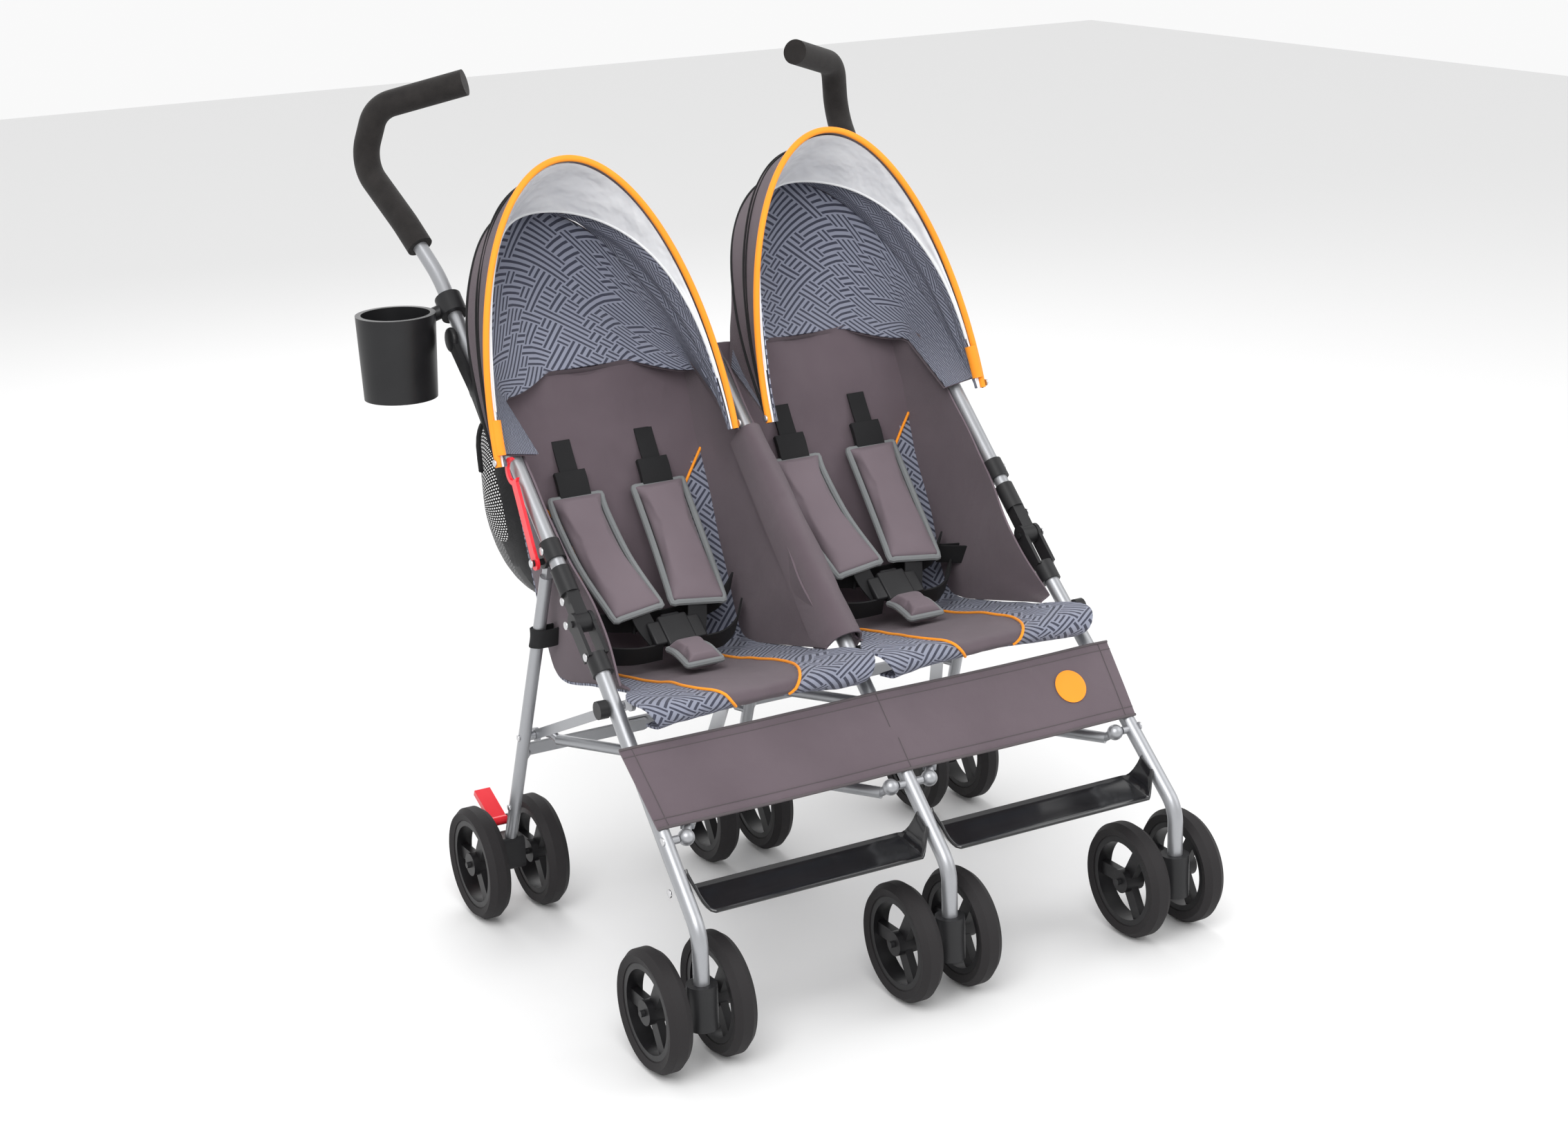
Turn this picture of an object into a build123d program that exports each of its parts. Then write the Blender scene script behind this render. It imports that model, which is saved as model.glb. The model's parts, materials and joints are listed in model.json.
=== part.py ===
"""Side-by-side double umbrella stroller: three side frames, two sling seats, two hoods.

Frame: +X to the rider's left hand when seen from the front (right of the drawing),
+Y to the rear, +Z up.  The drawing frame has the middle side frame at x = 0, the front
wheel axles at y = 0 and the floor at z = 0; everything moves by ROW_SHIFT on export,
so that the origin ends at the middle of the footprint, on the floor.
"""
from build123d import *
import math
import os

os.makedirs("parts", exist_ok=True)

# ---------------------------------------------------------------- driving dimensions, mm
LEG_SPACING = 318.0        # from one side frame to the next
WHEEL_SPLAY = 13.0         # the outer frames' feet stand this far outside the frames
WHEELBASE = 500.0          # front axle to rear axle
CASTER_TRAIL = 40.0        # front axle behind its swivel axis

TUBE_R = 9.5               # front legs and upper tubes
REAR_TUBE_R = 8.0
RAIL_R = 7.0
TUBE_WALL = 1.2
GRIP_R = 17.0
PIN_R = 4.0
PIN_CLEARANCE = 0.08       # round a turning pin
GAP = 0.4                  # between pieces that pass each other

WHEEL_R = 73.0
WHEEL_W = 29.0
WHEEL_OFFSET = 41.0        # middle of each wheel from the middle of its pair
TYRE_DEPTH = 15.0
AXLE_R = 4.0
HUB_R = 15.0
SPOKE_W = 17.0

SWIVEL_R = 18.0            # caster housing
SWIVEL_TOP = 112.0
SWIVEL_BOTTOM = 58.0

KNEE = (259.0, 454.0)      # fold hinge, (y, z)
LEG_BEND = (-CASTER_TRAIL, 172.0)
BEND_R = 45.0
RAIL_PIVOT = (175.0, 374.0)
REAR_PIVOT_ALONG = 101.0   # rear leg pivot, up the tube from the knee
REAR_PIVOT_BELOW = TUBE_R + 10.5   # and this far under the tube
RAIL_REAR_Z = 256.0        # height of the seat rail's rear pivot
REAR_LEG_Y = WHEELBASE - 3.0   # foot of the rear leg
REAR_LEG_Z = 84.0

PLATE_T = 4.5              # knee cheek plates
TONGUE_T = 16.0
KNOB_R = 11.0              # rail knob outside each front leg
KNOB_LENGTH = 12.0
KNUCKLE_R = TUBE_R + 3.5
HOUSING_START, HOUSING_END = 46.0, 72.0
SLEEVE_R = TUBE_R + 2.5
SLEEVE_START, SLEEVE_END = 40.0, 76.0
COLLAR_HALF = 13.0
EYE_T = 8.0
EYE_R = 8.5
FOOT_SOCKET = 2.0          # rear leg's end above its foot point

RAIL_IN = KNUCKLE_R + 0.6  # rail plates start this far inboard of the frame
RAIL_T = 5.0
RAIL_NOSE_IN = KNUCKLE_R + 3.0        # at the front end, clear of the hinge housing it swings past
FRONT_BALL = (44.0, 252.0)
FRONT_BALL_IN = 27.0
REAR_BALL_IN = 34.0
BALL_R = 10.0
LINK_LAYER = 9.0           # the two crossing links run this far above and below
CROSSBAR_Z = 222.0         # folding crossbar, on the rear legs
CROSSBAR_BEHIND = 10.0     # and behind them
CROSSBAR_PEG = 17.0
CROSSBAR_PEG_R = 3.0
CROSSBAR_HALF = 9.0
CROSSBAR_T = 4.0
CROSSBAR_OVERLAP = 12.0    # past the middle of the bay
CROSSBAR_IN = 14.0
CROSSBAR_LAYER = 6.0

FOLD_LIMIT = 128.0         # degrees, handles forward and down at the knee
BRAKE_PIVOT = (WHEELBASE + 27.0, 112.0)
BRAKE_TIP = (WHEELBASE + 79.0, 136.0)
BRAKE_PIN_R = 2.5
BRAKE_TRAVEL = 22.0        # degrees, foot pushes the paddle down
HOOD_TRAVEL = 22.0         # degrees, each hood tips back towards the handles
HOOD_FOOT = 8.0            # straight part of the hood's edge beside its pivot
HOOD_OPEN_HEIGHT = 165.0   # the hood's back panel is open below this
LATCH_OUT = 15.0           # latch plate outboard of the left frame
LATCH_T = 4.0
LATCH_REST_ANGLE = 62.0

STRAIGHT_RUN = 520.0       # straight part of an outer upper tube, from the knee
HANDLE = ((16.0, 700.0, 872.0), (36.0, 784.0, 940.0), (20.0, 762.0, 1012.0),
          (-73.0, 700.0, 1040.0))   # corners after the straight run, x outboard of the frame
HANDLE_BENDS = (220.0, 150.0, 45.0, 40.0)
GRIP_LENGTH = 330.0        # foam, back from the handle's end
MIDDLE_TUBE_END = 438.0    # length of the middle upper tube above the knee

CUP_OUT = 75.0             # cup axis outboard of the left frame
CUP_AXIS = (-LEG_SPACING - CUP_OUT, 602.0)
CUP_SEAT_GAP = 0.3         # between the cup and the clamp arm that carries it
CUP_BASE_Z, CUP_TOP_Z = 672.0, 778.0
CUP_TOP_R, CUP_BASE_R, CUP_BORE_R = 50.0, 46.0, 43.0
CLAMP_ALONG = 472.0        # cup clamp, up the left tube from the knee

HOOD_PIVOT = (408.0, 616.0)
HOOD_HALF = 161.5
HOOD_HEIGHT = 362.0
HOOD_FRONT_ANGLE = 70.7
HOOD_REAR_ANGLE = 47.0
HOOD_T = 4.0
HOOD_CENTRE = 186.5        # from the middle frame

SEAT_INSET = 21.0          # seat fabric from each frame
SEAT_T = 9.0
SEAT_FRONT = (112.0, 380.0)
SEAT_HOLLOW = (400.0, 335.0)
SEAT_TOP = (545.0, 688.0)

BAND_TOP = (130.0, 334.0)
BAND_BOTTOM = (56.0, 262.0)
BAND_T = 3.0

ROW_SHIFT = Vector(26.25, -360.4, 0.0)

FRAMES = (("left", -1), ("middle", 0), ("right", 1))

# ---------------------------------------------------------------- side-plane geometry
lean = math.atan2(KNEE[1] - LEG_BEND[1], KNEE[0] - LEG_BEND[0])
U = (math.cos(lean), math.sin(lean))
N = (-math.sin(lean), math.cos(lean))


def on_tube(along, above=0.0):
    """Point of the side plane, along the tube line from the knee, and above it."""
    return (KNEE[0] + along * U[0] + above * N[0], KNEE[1] + along * U[1] + above * N[1])


def turned(point, centre, degrees):
    a = math.radians(degrees)
    dy, dz = point[0] - centre[0], point[1] - centre[1]
    return (centre[0] + dy * math.cos(a) - dz * math.sin(a),
            centre[1] + dy * math.sin(a) + dz * math.cos(a))


REAR_PIVOT = on_tube(REAR_PIVOT_ALONG, -REAR_PIVOT_BELOW)


def on_rear_leg(z):
    t = (REAR_PIVOT[1] - z) / (REAR_PIVOT[1] - REAR_LEG_Z)
    return (REAR_PIVOT[0] + t * (REAR_LEG_Y - REAR_PIVOT[0]), z)


RAIL_REAR = on_rear_leg(RAIL_REAR_Z)


def at(x, point, dx=0.0):
    return Vector(x + dx, point[0], point[1])


def leg_x(side, z):
    """X of a frame's front or rear leg at a height: the feet splay outwards."""
    drop = max(0.0, KNEE[1] - z) / (KNEE[1] - LEG_BEND[1])
    return side * (LEG_SPACING + WHEEL_SPLAY * min(1.0, drop))


# ---------------------------------------------------------------- small makers
def bar(a, b, r):
    """Solid round bar between two points."""
    a, b = Vector(*a), Vector(*b)
    return Solid.make_cylinder(r, (b - a).length, Plane(origin=a, z_dir=b - a))


def pin(x0, x1, point, r=PIN_R):
    return bar(at(x0, point), at(x1, point), r)


def pipe(points, radii, r, wall=None):
    """Round tube along straight runs joined by tangent arcs; solid if wall is None."""
    path = FilletPolyline(*points, radius=radii) if len(points) > 2 else Line(*points)
    section = Plane(origin=path @ 0, z_dir=path % 0) * Circle(r)
    if wall:
        section -= Plane(origin=path @ 0, z_dir=path % 0) * Circle(r - wall)
    return sweep(section, path=path)


def plate(points, x0, x1):
    """Flat plate in the side plane, from x0 to x1."""
    outline = Polyline(*[(p[0], p[1]) for p in points], close=True)
    face = Plane.YZ * make_face(outline)
    return extrude(face, amount=x1 - x0, dir=(1, 0, 0)).moved(Location((x0, 0, 0)))


def strip(a, b, half, x0, x1):
    """Straight strip of a given half width between two side-plane points."""
    dy, dz = b[0] - a[0], b[1] - a[1]
    size = math.hypot(dy, dz)
    ny, nz = -dz / size * half, dy / size * half
    return plate([(a[0] + ny, a[1] + nz), (b[0] + ny, b[1] + nz),
                  (b[0] - ny, b[1] - nz), (a[0] - ny, a[1] - nz)], x0, x1)


def block(x0, x1, y0, y1, z0, z1):
    return Pos((x0 + x1) / 2, (y0 + y1) / 2, (z0 + z1) / 2) * Box(x1 - x0, y1 - y0, z1 - z0)


NODES = {}


def keep(name, *solids):
    NODES[name] = list(solids)


# ---------------------------------------------------------------- side frames
def front_leg(name, side):
    x, foot = side * LEG_SPACING, side * (LEG_SPACING + WHEEL_SPLAY)
    top = on_tube(-HOUSING_START - 4)
    path = [at(x, top), at(foot, LEG_BEND), Vector(foot, LEG_BEND[0], SWIVEL_BOTTOM + 20)]
    leg = pipe(path, BEND_R, TUBE_R, TUBE_WALL)
    rail_x = leg_x(side, RAIL_PIVOT[1])
    inward = -side if side else -1
    stub = pin(rail_x, rail_x + inward * (RAIL_IN - GAP), RAIL_PIVOT, PIN_R + 1)
    outer = pin(rail_x, rail_x - inward * (TUBE_R + 3), RAIL_PIVOT)
    leg = leg + stub + outer
    for way in ((-side,) if side else (-1, 1)):
        bx = leg_x(side, FRONT_BALL[1])
        reach = FRONT_BALL_IN - BALL_R - GAP
        leg = leg + pin(bx, bx + way * reach, FRONT_BALL, 5.0)
    keep(f"front_leg_{name}", leg)


def hinge_housing(name, side):
    x = side * LEG_SPACING
    a, b = at(x, on_tube(-HOUSING_START)), at(x, on_tube(-HOUSING_END))
    body = bar(a, b, KNUCKLE_R)
    tube_start = at(x, on_tube(-HOUSING_START - 4))
    toward_foot = Vector(side * (LEG_SPACING + WHEEL_SPLAY) - x, LEG_BEND[0] - on_tube(0)[0],
                         LEG_BEND[1] - on_tube(0)[1])
    body = body - bar(tube_start, tube_start + toward_foot * 0.3, TUBE_R + 0.05)
    inner = TONGUE_T / 2 + 0.3
    for way in (-1, 1):
        x0, x1 = sorted((x + way * inner, x + way * (inner + PLATE_T)))
        cheek = strip(on_tube(-HOUSING_START - 3), KNEE, 11.0, x0, x1)
        cheek = cheek + pin(x0, x1, KNEE, KNUCKLE_R)
        body = body + cheek
    body = body + pin(x - inner - PLATE_T - 2, x + inner + PLATE_T + 2, KNEE)
    inward = -side if side else -1
    rail_x = leg_x(side, RAIL_PIVOT[1]) - inward * (TUBE_R + 0.2)
    knob = pin(rail_x, rail_x - inward * KNOB_LENGTH, RAIL_PIVOT, KNOB_R)
    knob = knob - pin(rail_x + inward, rail_x - inward * 3.2, RAIL_PIVOT, PIN_R + 0.05)
    keep(f"hinge_housing_{name}", body, knob)


def upper_tube(name, side):
    x = side * LEG_SPACING
    start = at(x, on_tube(SLEEVE_START + 4))
    if side == 0:
        tube = pipe([start, at(x, on_tube(MIDDLE_TUBE_END))], None, TUBE_R, TUBE_WALL)
        keep(f"upper_tube_{name}", tube)
        return
    points = [start, at(x, on_tube(STRAIGHT_RUN))]
    points += [Vector(side * (LEG_SPACING + p[0]), p[1], p[2]) for p in HANDLE]
    keep(f"upper_tube_{name}", pipe(points, HANDLE_BENDS, TUBE_R, TUBE_WALL))
    path = FilletPolyline(*points, radius=HANDLE_BENDS)
    held = path.trim(1 - GRIP_LENGTH / path.length, 1.0)
    section = Plane(origin=held @ 0, z_dir=held % 0) * (Circle(GRIP_R) - Circle(TUBE_R + 0.05))
    foam = sweep(section, path=held)
    cap = Solid.make_cylinder(GRIP_R, 5.0, Plane(origin=held @ 1, z_dir=held % 1))
    keep(f"grip_{name}", foam, cap)


def hinge_sleeve(name, side):
    x = side * LEG_SPACING
    sleeve = bar(at(x, on_tube(SLEEVE_START)), at(x, on_tube(SLEEVE_END)), SLEEVE_R)
    tongue = strip(on_tube(SLEEVE_START + 3), KNEE, 9.0, x - TONGUE_T / 2, x + TONGUE_T / 2)
    tongue = tongue + pin(x - TONGUE_T / 2, x + TONGUE_T / 2, KNEE, SLEEVE_R)
    tongue = tongue - pin(x - 20, x + 20, KNEE, PIN_R + PIN_CLEARANCE)
    sleeve = sleeve + tongue
    sleeve = sleeve - bar(at(x, on_tube(SLEEVE_START + 4)), at(x, on_tube(SLEEVE_END + 5)),
                          TUBE_R + 0.05)
    lo, hi = REAR_PIVOT_ALONG - COLLAR_HALF, REAR_PIVOT_ALONG + COLLAR_HALF
    collar = bar(at(x, on_tube(lo)), at(x, on_tube(hi)), KNUCKLE_R)
    inner = EYE_T / 2 + GAP
    for way in (-1, 1):
        x0, x1 = sorted((x + way * inner, x + way * (inner + 4.0)))
        lug = strip(on_tube(REAR_PIVOT_ALONG), REAR_PIVOT, 9.0, x0, x1)
        collar = collar + lug + pin(x0, x1, REAR_PIVOT, 9.0)
    collar = collar - bar(at(x, on_tube(lo - 5)), at(x, on_tube(hi + 5)), TUBE_R + 0.05)
    collar = collar - strip(on_tube(REAR_PIVOT_ALONG, -TUBE_R - 0.6), on_tube(REAR_PIVOT_ALONG, -60),
                            COLLAR_HALF + 2, x - inner, x + inner)
    out = side if side else 1
    reach = (LATCH_OUT + LATCH_T + 3.0) if side == -1 else inner + 5.0
    rivet = pin(x - out * (inner + 5.0), x + out * reach, REAR_PIVOT)
    collar = collar + rivet
    keep(f"hinge_sleeve_{name}", sleeve, collar)


def rear_leg(name, side):
    x, foot = side * LEG_SPACING, side * (LEG_SPACING + WHEEL_SPLAY)
    head, bottom = at(x, REAR_PIVOT), at(foot, (REAR_LEG_Y, REAR_LEG_Z))
    down = (bottom - head).normalized()
    start, neck = head + down * 23, head + down * 34
    tube = pipe([start, bottom - down * FOOT_SOCKET], None, REAR_TUBE_R, TUBE_WALL)
    plug = bar(start, neck, REAR_TUBE_R - 0.5)
    eye = strip(REAR_PIVOT, (neck.Y, neck.Z), 6.5, x - EYE_T / 2, x + EYE_T / 2)
    eye = eye + pin(x - EYE_T / 2, x + EYE_T / 2, REAR_PIVOT, EYE_R)
    eye = eye - pin(x - 20, x + 20, REAR_PIVOT, PIN_R + PIN_CLEARANCE)
    leg = tube + plug + eye
    inward = -side if side else -1
    rx = rear_x(side, RAIL_REAR_Z)
    leg = leg + pin(rx, rx + inward * (RAIL_IN - GAP), RAIL_REAR, 6.0)
    leg = leg + pin(rx, rx + inward * (RAIL_IN + RAIL_T + 2.5), RAIL_REAR)
    bx = rear_x(side, CROSSBAR_Z)
    peg = crossbar_direction()
    for way in ((-side,) if side else (-1, 1)):
        tip = Vector(bx + way * CROSSBAR_IN, *CROSSBAR_PIVOT)
        leg = leg + bar(Vector(bx + way * 4, *on_rear_leg(CROSSBAR_Z)), tip, 4.0)
        leg = leg + bar(tip - peg * 2, tip + peg * CROSSBAR_PEG, CROSSBAR_PEG_R)
    keep(f"rear_leg_{name}", leg)


def rear_x(side, z):
    t = (REAR_PIVOT[1] - z) / (REAR_PIVOT[1] - REAR_LEG_Z)
    return side * (LEG_SPACING + WHEEL_SPLAY * t)


def crossbar_direction():
    """Unit vector square to the rear leg, pointing to the rear."""
    dy, dz = REAR_LEG_Y - REAR_PIVOT[0], REAR_LEG_Z - REAR_PIVOT[1]
    size = math.hypot(dy, dz)
    return Vector(0, -dz / size, dy / size)


CROSSBAR_PIVOT = (on_rear_leg(CROSSBAR_Z)[0] + crossbar_direction().Y * CROSSBAR_BEHIND,
                  on_rear_leg(CROSSBAR_Z)[1] + crossbar_direction().Z * CROSSBAR_BEHIND)


def rear_axle(name, side):
    foot = side * (LEG_SPACING + WHEEL_SPLAY)
    body = block(foot - 15, foot + 15, REAR_LEG_Y - 18, REAR_LEG_Y + 20, WHEEL_R - 13, 104)
    body = fillet(body.edges().filter_by(Axis.X), 8.0)
    foot_end, head = at(foot, (REAR_LEG_Y, REAR_LEG_Z)), at(side * LEG_SPACING, REAR_PIVOT)
    up = (head - foot_end).normalized()
    body = body - bar(foot_end + up * FOOT_SOCKET, foot_end + up * 60, REAR_TUBE_R + 0.05)
    reach = WHEEL_OFFSET + WHEEL_W / 2 + 4
    axle = bar((foot - reach, WHEELBASE, WHEEL_R), (foot + reach, WHEELBASE, WHEEL_R), AXLE_R)
    keep(f"rear_axle_{name}", body + axle)


def seat_rail(name, side):
    inward = -side if side else -1
    rear = rear_x(side, RAIL_REAR_Z) + inward * RAIL_IN
    front = side * LEG_SPACING + inward * RAIL_NOSE_IN
    x0, x1 = sorted((rear, rear + inward * RAIL_T))
    end = pin(x0, x1, RAIL_REAR, 9.0)
    end = end - pin(x0 - 1, x1 + 1, RAIL_REAR, PIN_R + PIN_CLEARANCE)
    f0, f1 = sorted((front, front + inward * RAIL_T))
    nose = pin(f0, f1, RAIL_PIVOT, 9.0)
    dy, dz = RAIL_PIVOT[0] - RAIL_REAR[0], RAIL_PIVOT[1] - RAIL_REAR[1]
    size = math.hypot(dy, dz)
    d = (dy / size, dz / size)
    a = (RAIL_REAR[0] + 7 * d[0], RAIL_REAR[1] + 7 * d[1])
    middle_x = (x0 + x1) / 2
    nose_x = (f0 + f1) / 2
    rail = hull_bar((middle_x, a), (nose_x, RAIL_PIVOT), 6.0, RAIL_T)
    keep(f"seat_rail_{name}", end + nose + rail)


def hull_bar(start, end, half, thick):
    """Flat bar between two side-plane points that may lie at two values of x."""
    (xa, a), (xb, b) = start, end
    va, vb = at(xa, a), at(xb, b)
    plane = Plane(origin=va, z_dir=vb - va, x_dir=(1, 0, 0))
    return extrude(plane * Rectangle(thick, 2 * half), amount=(vb - va).length)


# ---------------------------------------------------------------- wheels
def wheel(x, y):
    half = WHEEL_W / 2
    tread = [(WHEEL_R - TYRE_DEPTH, -half + 3), (WHEEL_R - 6, -half), (WHEEL_R, -half + 8),
             (WHEEL_R, half - 8), (WHEEL_R - 6, half), (WHEEL_R - TYRE_DEPTH, half - 3)]
    tyre = revolve(make_face(Polyline(*[(r, 0, h) for r, h in tread], close=True)), Axis.Z)
    rim = Cylinder(WHEEL_R - TYRE_DEPTH, WHEEL_W - 8) - Cylinder(WHEEL_R - TYRE_DEPTH - 8, WHEEL_W)
    rim = rim + Cylinder(HUB_R, WHEEL_W - 2)
    spoke = WHEEL_R - TYRE_DEPTH - 4 - AXLE_R
    for k in range(3):
        arm = Pos(AXLE_R + spoke / 2, 0, 0) * Box(spoke, SPOKE_W, 10)
        rim = rim + Rot(0, 0, 90 + 120 * k) * arm
    rim = rim - Cylinder(AXLE_R + PIN_CLEARANCE, WHEEL_W * 2)
    place = Location((x, y, WHEEL_R)) * Location((0, 0, 0), (0, 90, 0))
    return [tyre.moved(place), rim.moved(place)]


def caster(name, side):
    foot = side * (LEG_SPACING + WHEEL_SPLAY)
    y = LEG_BEND[0]
    stem = Pos(foot, y, (SWIVEL_TOP + SWIVEL_BOTTOM) / 2) * Cylinder(SWIVEL_R, SWIVEL_TOP - SWIVEL_BOTTOM)
    arm = block(foot - 12, foot + 12, y + 5, 11, WHEEL_R - 11, WHEEL_R + 11)
    stem = stem + arm
    bore = SWIVEL_TOP - SWIVEL_BOTTOM - 18
    stem = stem - Pos(foot, y, SWIVEL_TOP - bore / 2 + 1) * Cylinder(TUBE_R + 0.3, bore + 2)
    reach = WHEEL_OFFSET + WHEEL_W / 2 + 4
    axle = bar((foot - reach, 0, WHEEL_R), (foot + reach, 0, WHEEL_R), AXLE_R)
    keep(f"caster_{name}", stem + axle)


def wheels():
    for row, y in (("front", 0.0), ("rear", WHEELBASE)):
        for name, side in FRAMES:
            foot = side * (LEG_SPACING + WHEEL_SPLAY)
            for hand, way in (("l", -1), ("r", 1)):
                keep(f"wheel_{row}_{name}_{hand}", *wheel(foot + way * WHEEL_OFFSET, y))


# ---------------------------------------------------------------- folding cross links
def link(name, front_side, rear_side, layer, round_bar):
    way = 1 if rear_side > front_side else -1
    front = Vector(leg_x(front_side, FRONT_BALL[1]) + way * FRONT_BALL_IN, *FRONT_BALL)
    rear = Vector(rear_x(rear_side, RAIL_REAR_Z) - way * REAR_BALL_IN, *RAIL_REAR)
    run = (rear - front).normalized()
    lift = Vector(0, 0, layer * LINK_LAYER)
    a, b = front + run * 14 + lift, rear - run * 12 + lift
    body = Pos(*front) * Sphere(BALL_R)
    body = body + bar(front, a, 5.5)
    if round_bar:
        body = body + bar(a - run * 2, b, RAIL_R)
    else:
        plane = Plane(origin=a - run * 2, z_dir=run, x_dir=run.cross(Vector(0, 0, 1)))
        body = body + extrude(plane * Rectangle(16, 8), amount=(b - a).length + 2)
    body = body + bar(b - run * 2, rear, 5.5) + Pos(*rear) * Sphere(BALL_R - 2)
    keep(name, body)


def crossbar(name, side, way, layer):
    """Half of the folding crossbar behind the rear legs; way points to its bay."""
    d = crossbar_direction()
    pivot = Vector(rear_x(side, CROSSBAR_Z) + way * CROSSBAR_IN, *CROSSBAR_PIVOT)
    pivot = pivot + d * (4.5 + layer * CROSSBAR_LAYER)
    bay_middle = (side + way / 2) * LEG_SPACING
    length = abs(bay_middle - pivot.X) + CROSSBAR_OVERLAP
    plane = Plane(origin=pivot, z_dir=d, x_dir=(way, 0, 0))
    ends = Circle(CROSSBAR_HALF) + Pos(length, 0) * Circle(CROSSBAR_HALF)
    half = plane * (Pos(length / 2, 0) * Rectangle(length, 2 * CROSSBAR_HALF) + ends)
    half = half - plane * Circle(CROSSBAR_PEG_R + PIN_CLEARANCE)
    keep(name, extrude(half, amount=CROSSBAR_T, dir=d))


# ---------------------------------------------------------------- brakes, latch, cup
def brake_lever(name, side):
    foot = side * (LEG_SPACING + WHEEL_SPLAY)
    lever = strip(BRAKE_PIVOT, BRAKE_TIP, 4.0, foot - 11, foot + 11)
    lever = lever + pin(foot - 11, foot + 11, BRAKE_PIVOT, 6.0)
    lever = lever - pin(foot - 30, foot + 30, BRAKE_PIVOT, BRAKE_PIN_R + PIN_CLEARANCE)
    keep(f"brake_lever_{name}", lever)


def brake_bracket(name, side):
    """Ears behind the rear axle block that carry the brake lever's pin."""
    foot = side * (LEG_SPACING + WHEEL_SPLAY)
    body = NODES[f"rear_axle_{name}"][0]
    for way in (-1, 1):
        x0, x1 = sorted((foot + way * 11.4, foot + way * 15))
        ear = strip((REAR_LEG_Y + 8, 92.0), BRAKE_PIVOT, 7.0, x0, x1)
        body = body + ear + pin(x0, x1, BRAKE_PIVOT, 7.0)
    body = body + pin(foot - 15, foot + 15, BRAKE_PIVOT, BRAKE_PIN_R)
    keep(f"rear_axle_{name}", body)


def latch_length():
    """From the latch rivet to the seat rail knob when the frame is folded."""
    folded = turned(REAR_PIVOT, KNEE, FOLD_LIMIT)
    return math.dist(folded, RAIL_PIVOT)


def fold_latch():
    x1 = -LEG_SPACING - LATCH_OUT
    x0 = x1 - LATCH_T
    reach = latch_length()
    a = math.radians(LATCH_REST_ANGLE)
    d = (math.cos(a), math.sin(a))
    tip = (REAR_PIVOT[0] + reach * d[0], REAR_PIVOT[1] + reach * d[1])
    arm = strip(REAR_PIVOT, (tip[0] - 8 * d[0], tip[1] - 8 * d[1]), 7.0, x0, x1)
    arm = arm + pin(x0, x1, REAR_PIVOT, 9.0) + pin(x0, x1, tip, 17.0)
    arm = arm - pin(x0 - 1, x1 + 1, tip, 11.0 + GAP)
    mouth = (tip[0] - 30 * d[1], tip[1] + 30 * d[0])
    arm = arm - strip(tip, mouth, 11.0 + GAP, x0 - 1, x1 + 1)
    arm = arm - pin(x0 - 1, x1 + 1, REAR_PIVOT, PIN_R + PIN_CLEARANCE)
    keep("fold_latch", arm)


def cup_holder():
    x, y = CUP_AXIS
    height = CUP_TOP_Z - CUP_BASE_Z
    outer = Pos(x, y, CUP_BASE_Z) * Solid.make_cone(CUP_BASE_R, CUP_TOP_R, height)
    bore = Pos(x, y, CUP_BASE_Z + 4) * Solid.make_cylinder(CUP_BORE_R, height)
    cup = outer - bore
    axis = Vector(0, *U)
    centre = at(-LEG_SPACING, on_tube(CLAMP_ALONG))
    clamp = bar(centre - axis * 14, centre + axis * 14, 17.0)
    neck = Vector(x + CUP_TOP_R - 12, y + 8, CUP_TOP_Z - 14)
    clamp = clamp + bar(centre, neck, 9.0)
    clamp = clamp - bar(centre - axis * 40, centre + axis * 40, TUBE_R + 0.05)
    seat = Pos(x, y, CUP_BASE_Z) * Solid.make_cone(CUP_BASE_R + CUP_SEAT_GAP, CUP_TOP_R + CUP_SEAT_GAP, height)
    keep("cup_holder", cup)
    keep("cup_clamp", clamp - seat)


# ---------------------------------------------------------------- soft goods
def hood(name, side):
    cx = side * HOOD_CENTRE
    axis = Axis((cx, *HOOD_PIVOT), (1, 0, 0))

    def arch(half, height):
        top = EllipticalCenterArc((0, HOOD_FOOT), half, height - HOOD_FOOT, start_angle=0, arc_size=180)
        return make_face([top, Line(top @ 1, top @ 0)])

    ring = arch(HOOD_HALF, HOOD_HEIGHT) - arch(HOOD_HALF - HOOD_T, HOOD_HEIGHT - HOOD_T)
    a = math.radians(HOOD_REAR_ANGLE)
    rear = Plane(origin=(cx, *HOOD_PIVOT), x_dir=(1, 0, 0), z_dir=(0, math.sin(a), -math.cos(a)))
    if rear.y_dir.Z < 0:
        rear = Plane(origin=(cx, *HOOD_PIVOT), x_dir=(1, 0, 0), z_dir=(0, -math.sin(a), math.cos(a)))
    section = rear * ring
    shell = revolve(section, axis, HOOD_FRONT_ANGLE - HOOD_REAR_ANGLE)
    panel = arch(HOOD_HALF - HOOD_T - GAP, HOOD_HEIGHT - HOOD_T - GAP)
    kept = Rectangle(2 * HOOD_HALF, 2 * (HOOD_HEIGHT - HOOD_OPEN_HEIGHT))
    back = extrude(rear * (panel & (Pos(0, HOOD_HEIGHT) * kept)), amount=HOOD_T)
    keep(f"canopy_{name}", shell, back)


def bay_range(side):
    lo, hi = sorted((0.0, side * LEG_SPACING))
    return lo + SEAT_INSET, hi - SEAT_INSET


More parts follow.
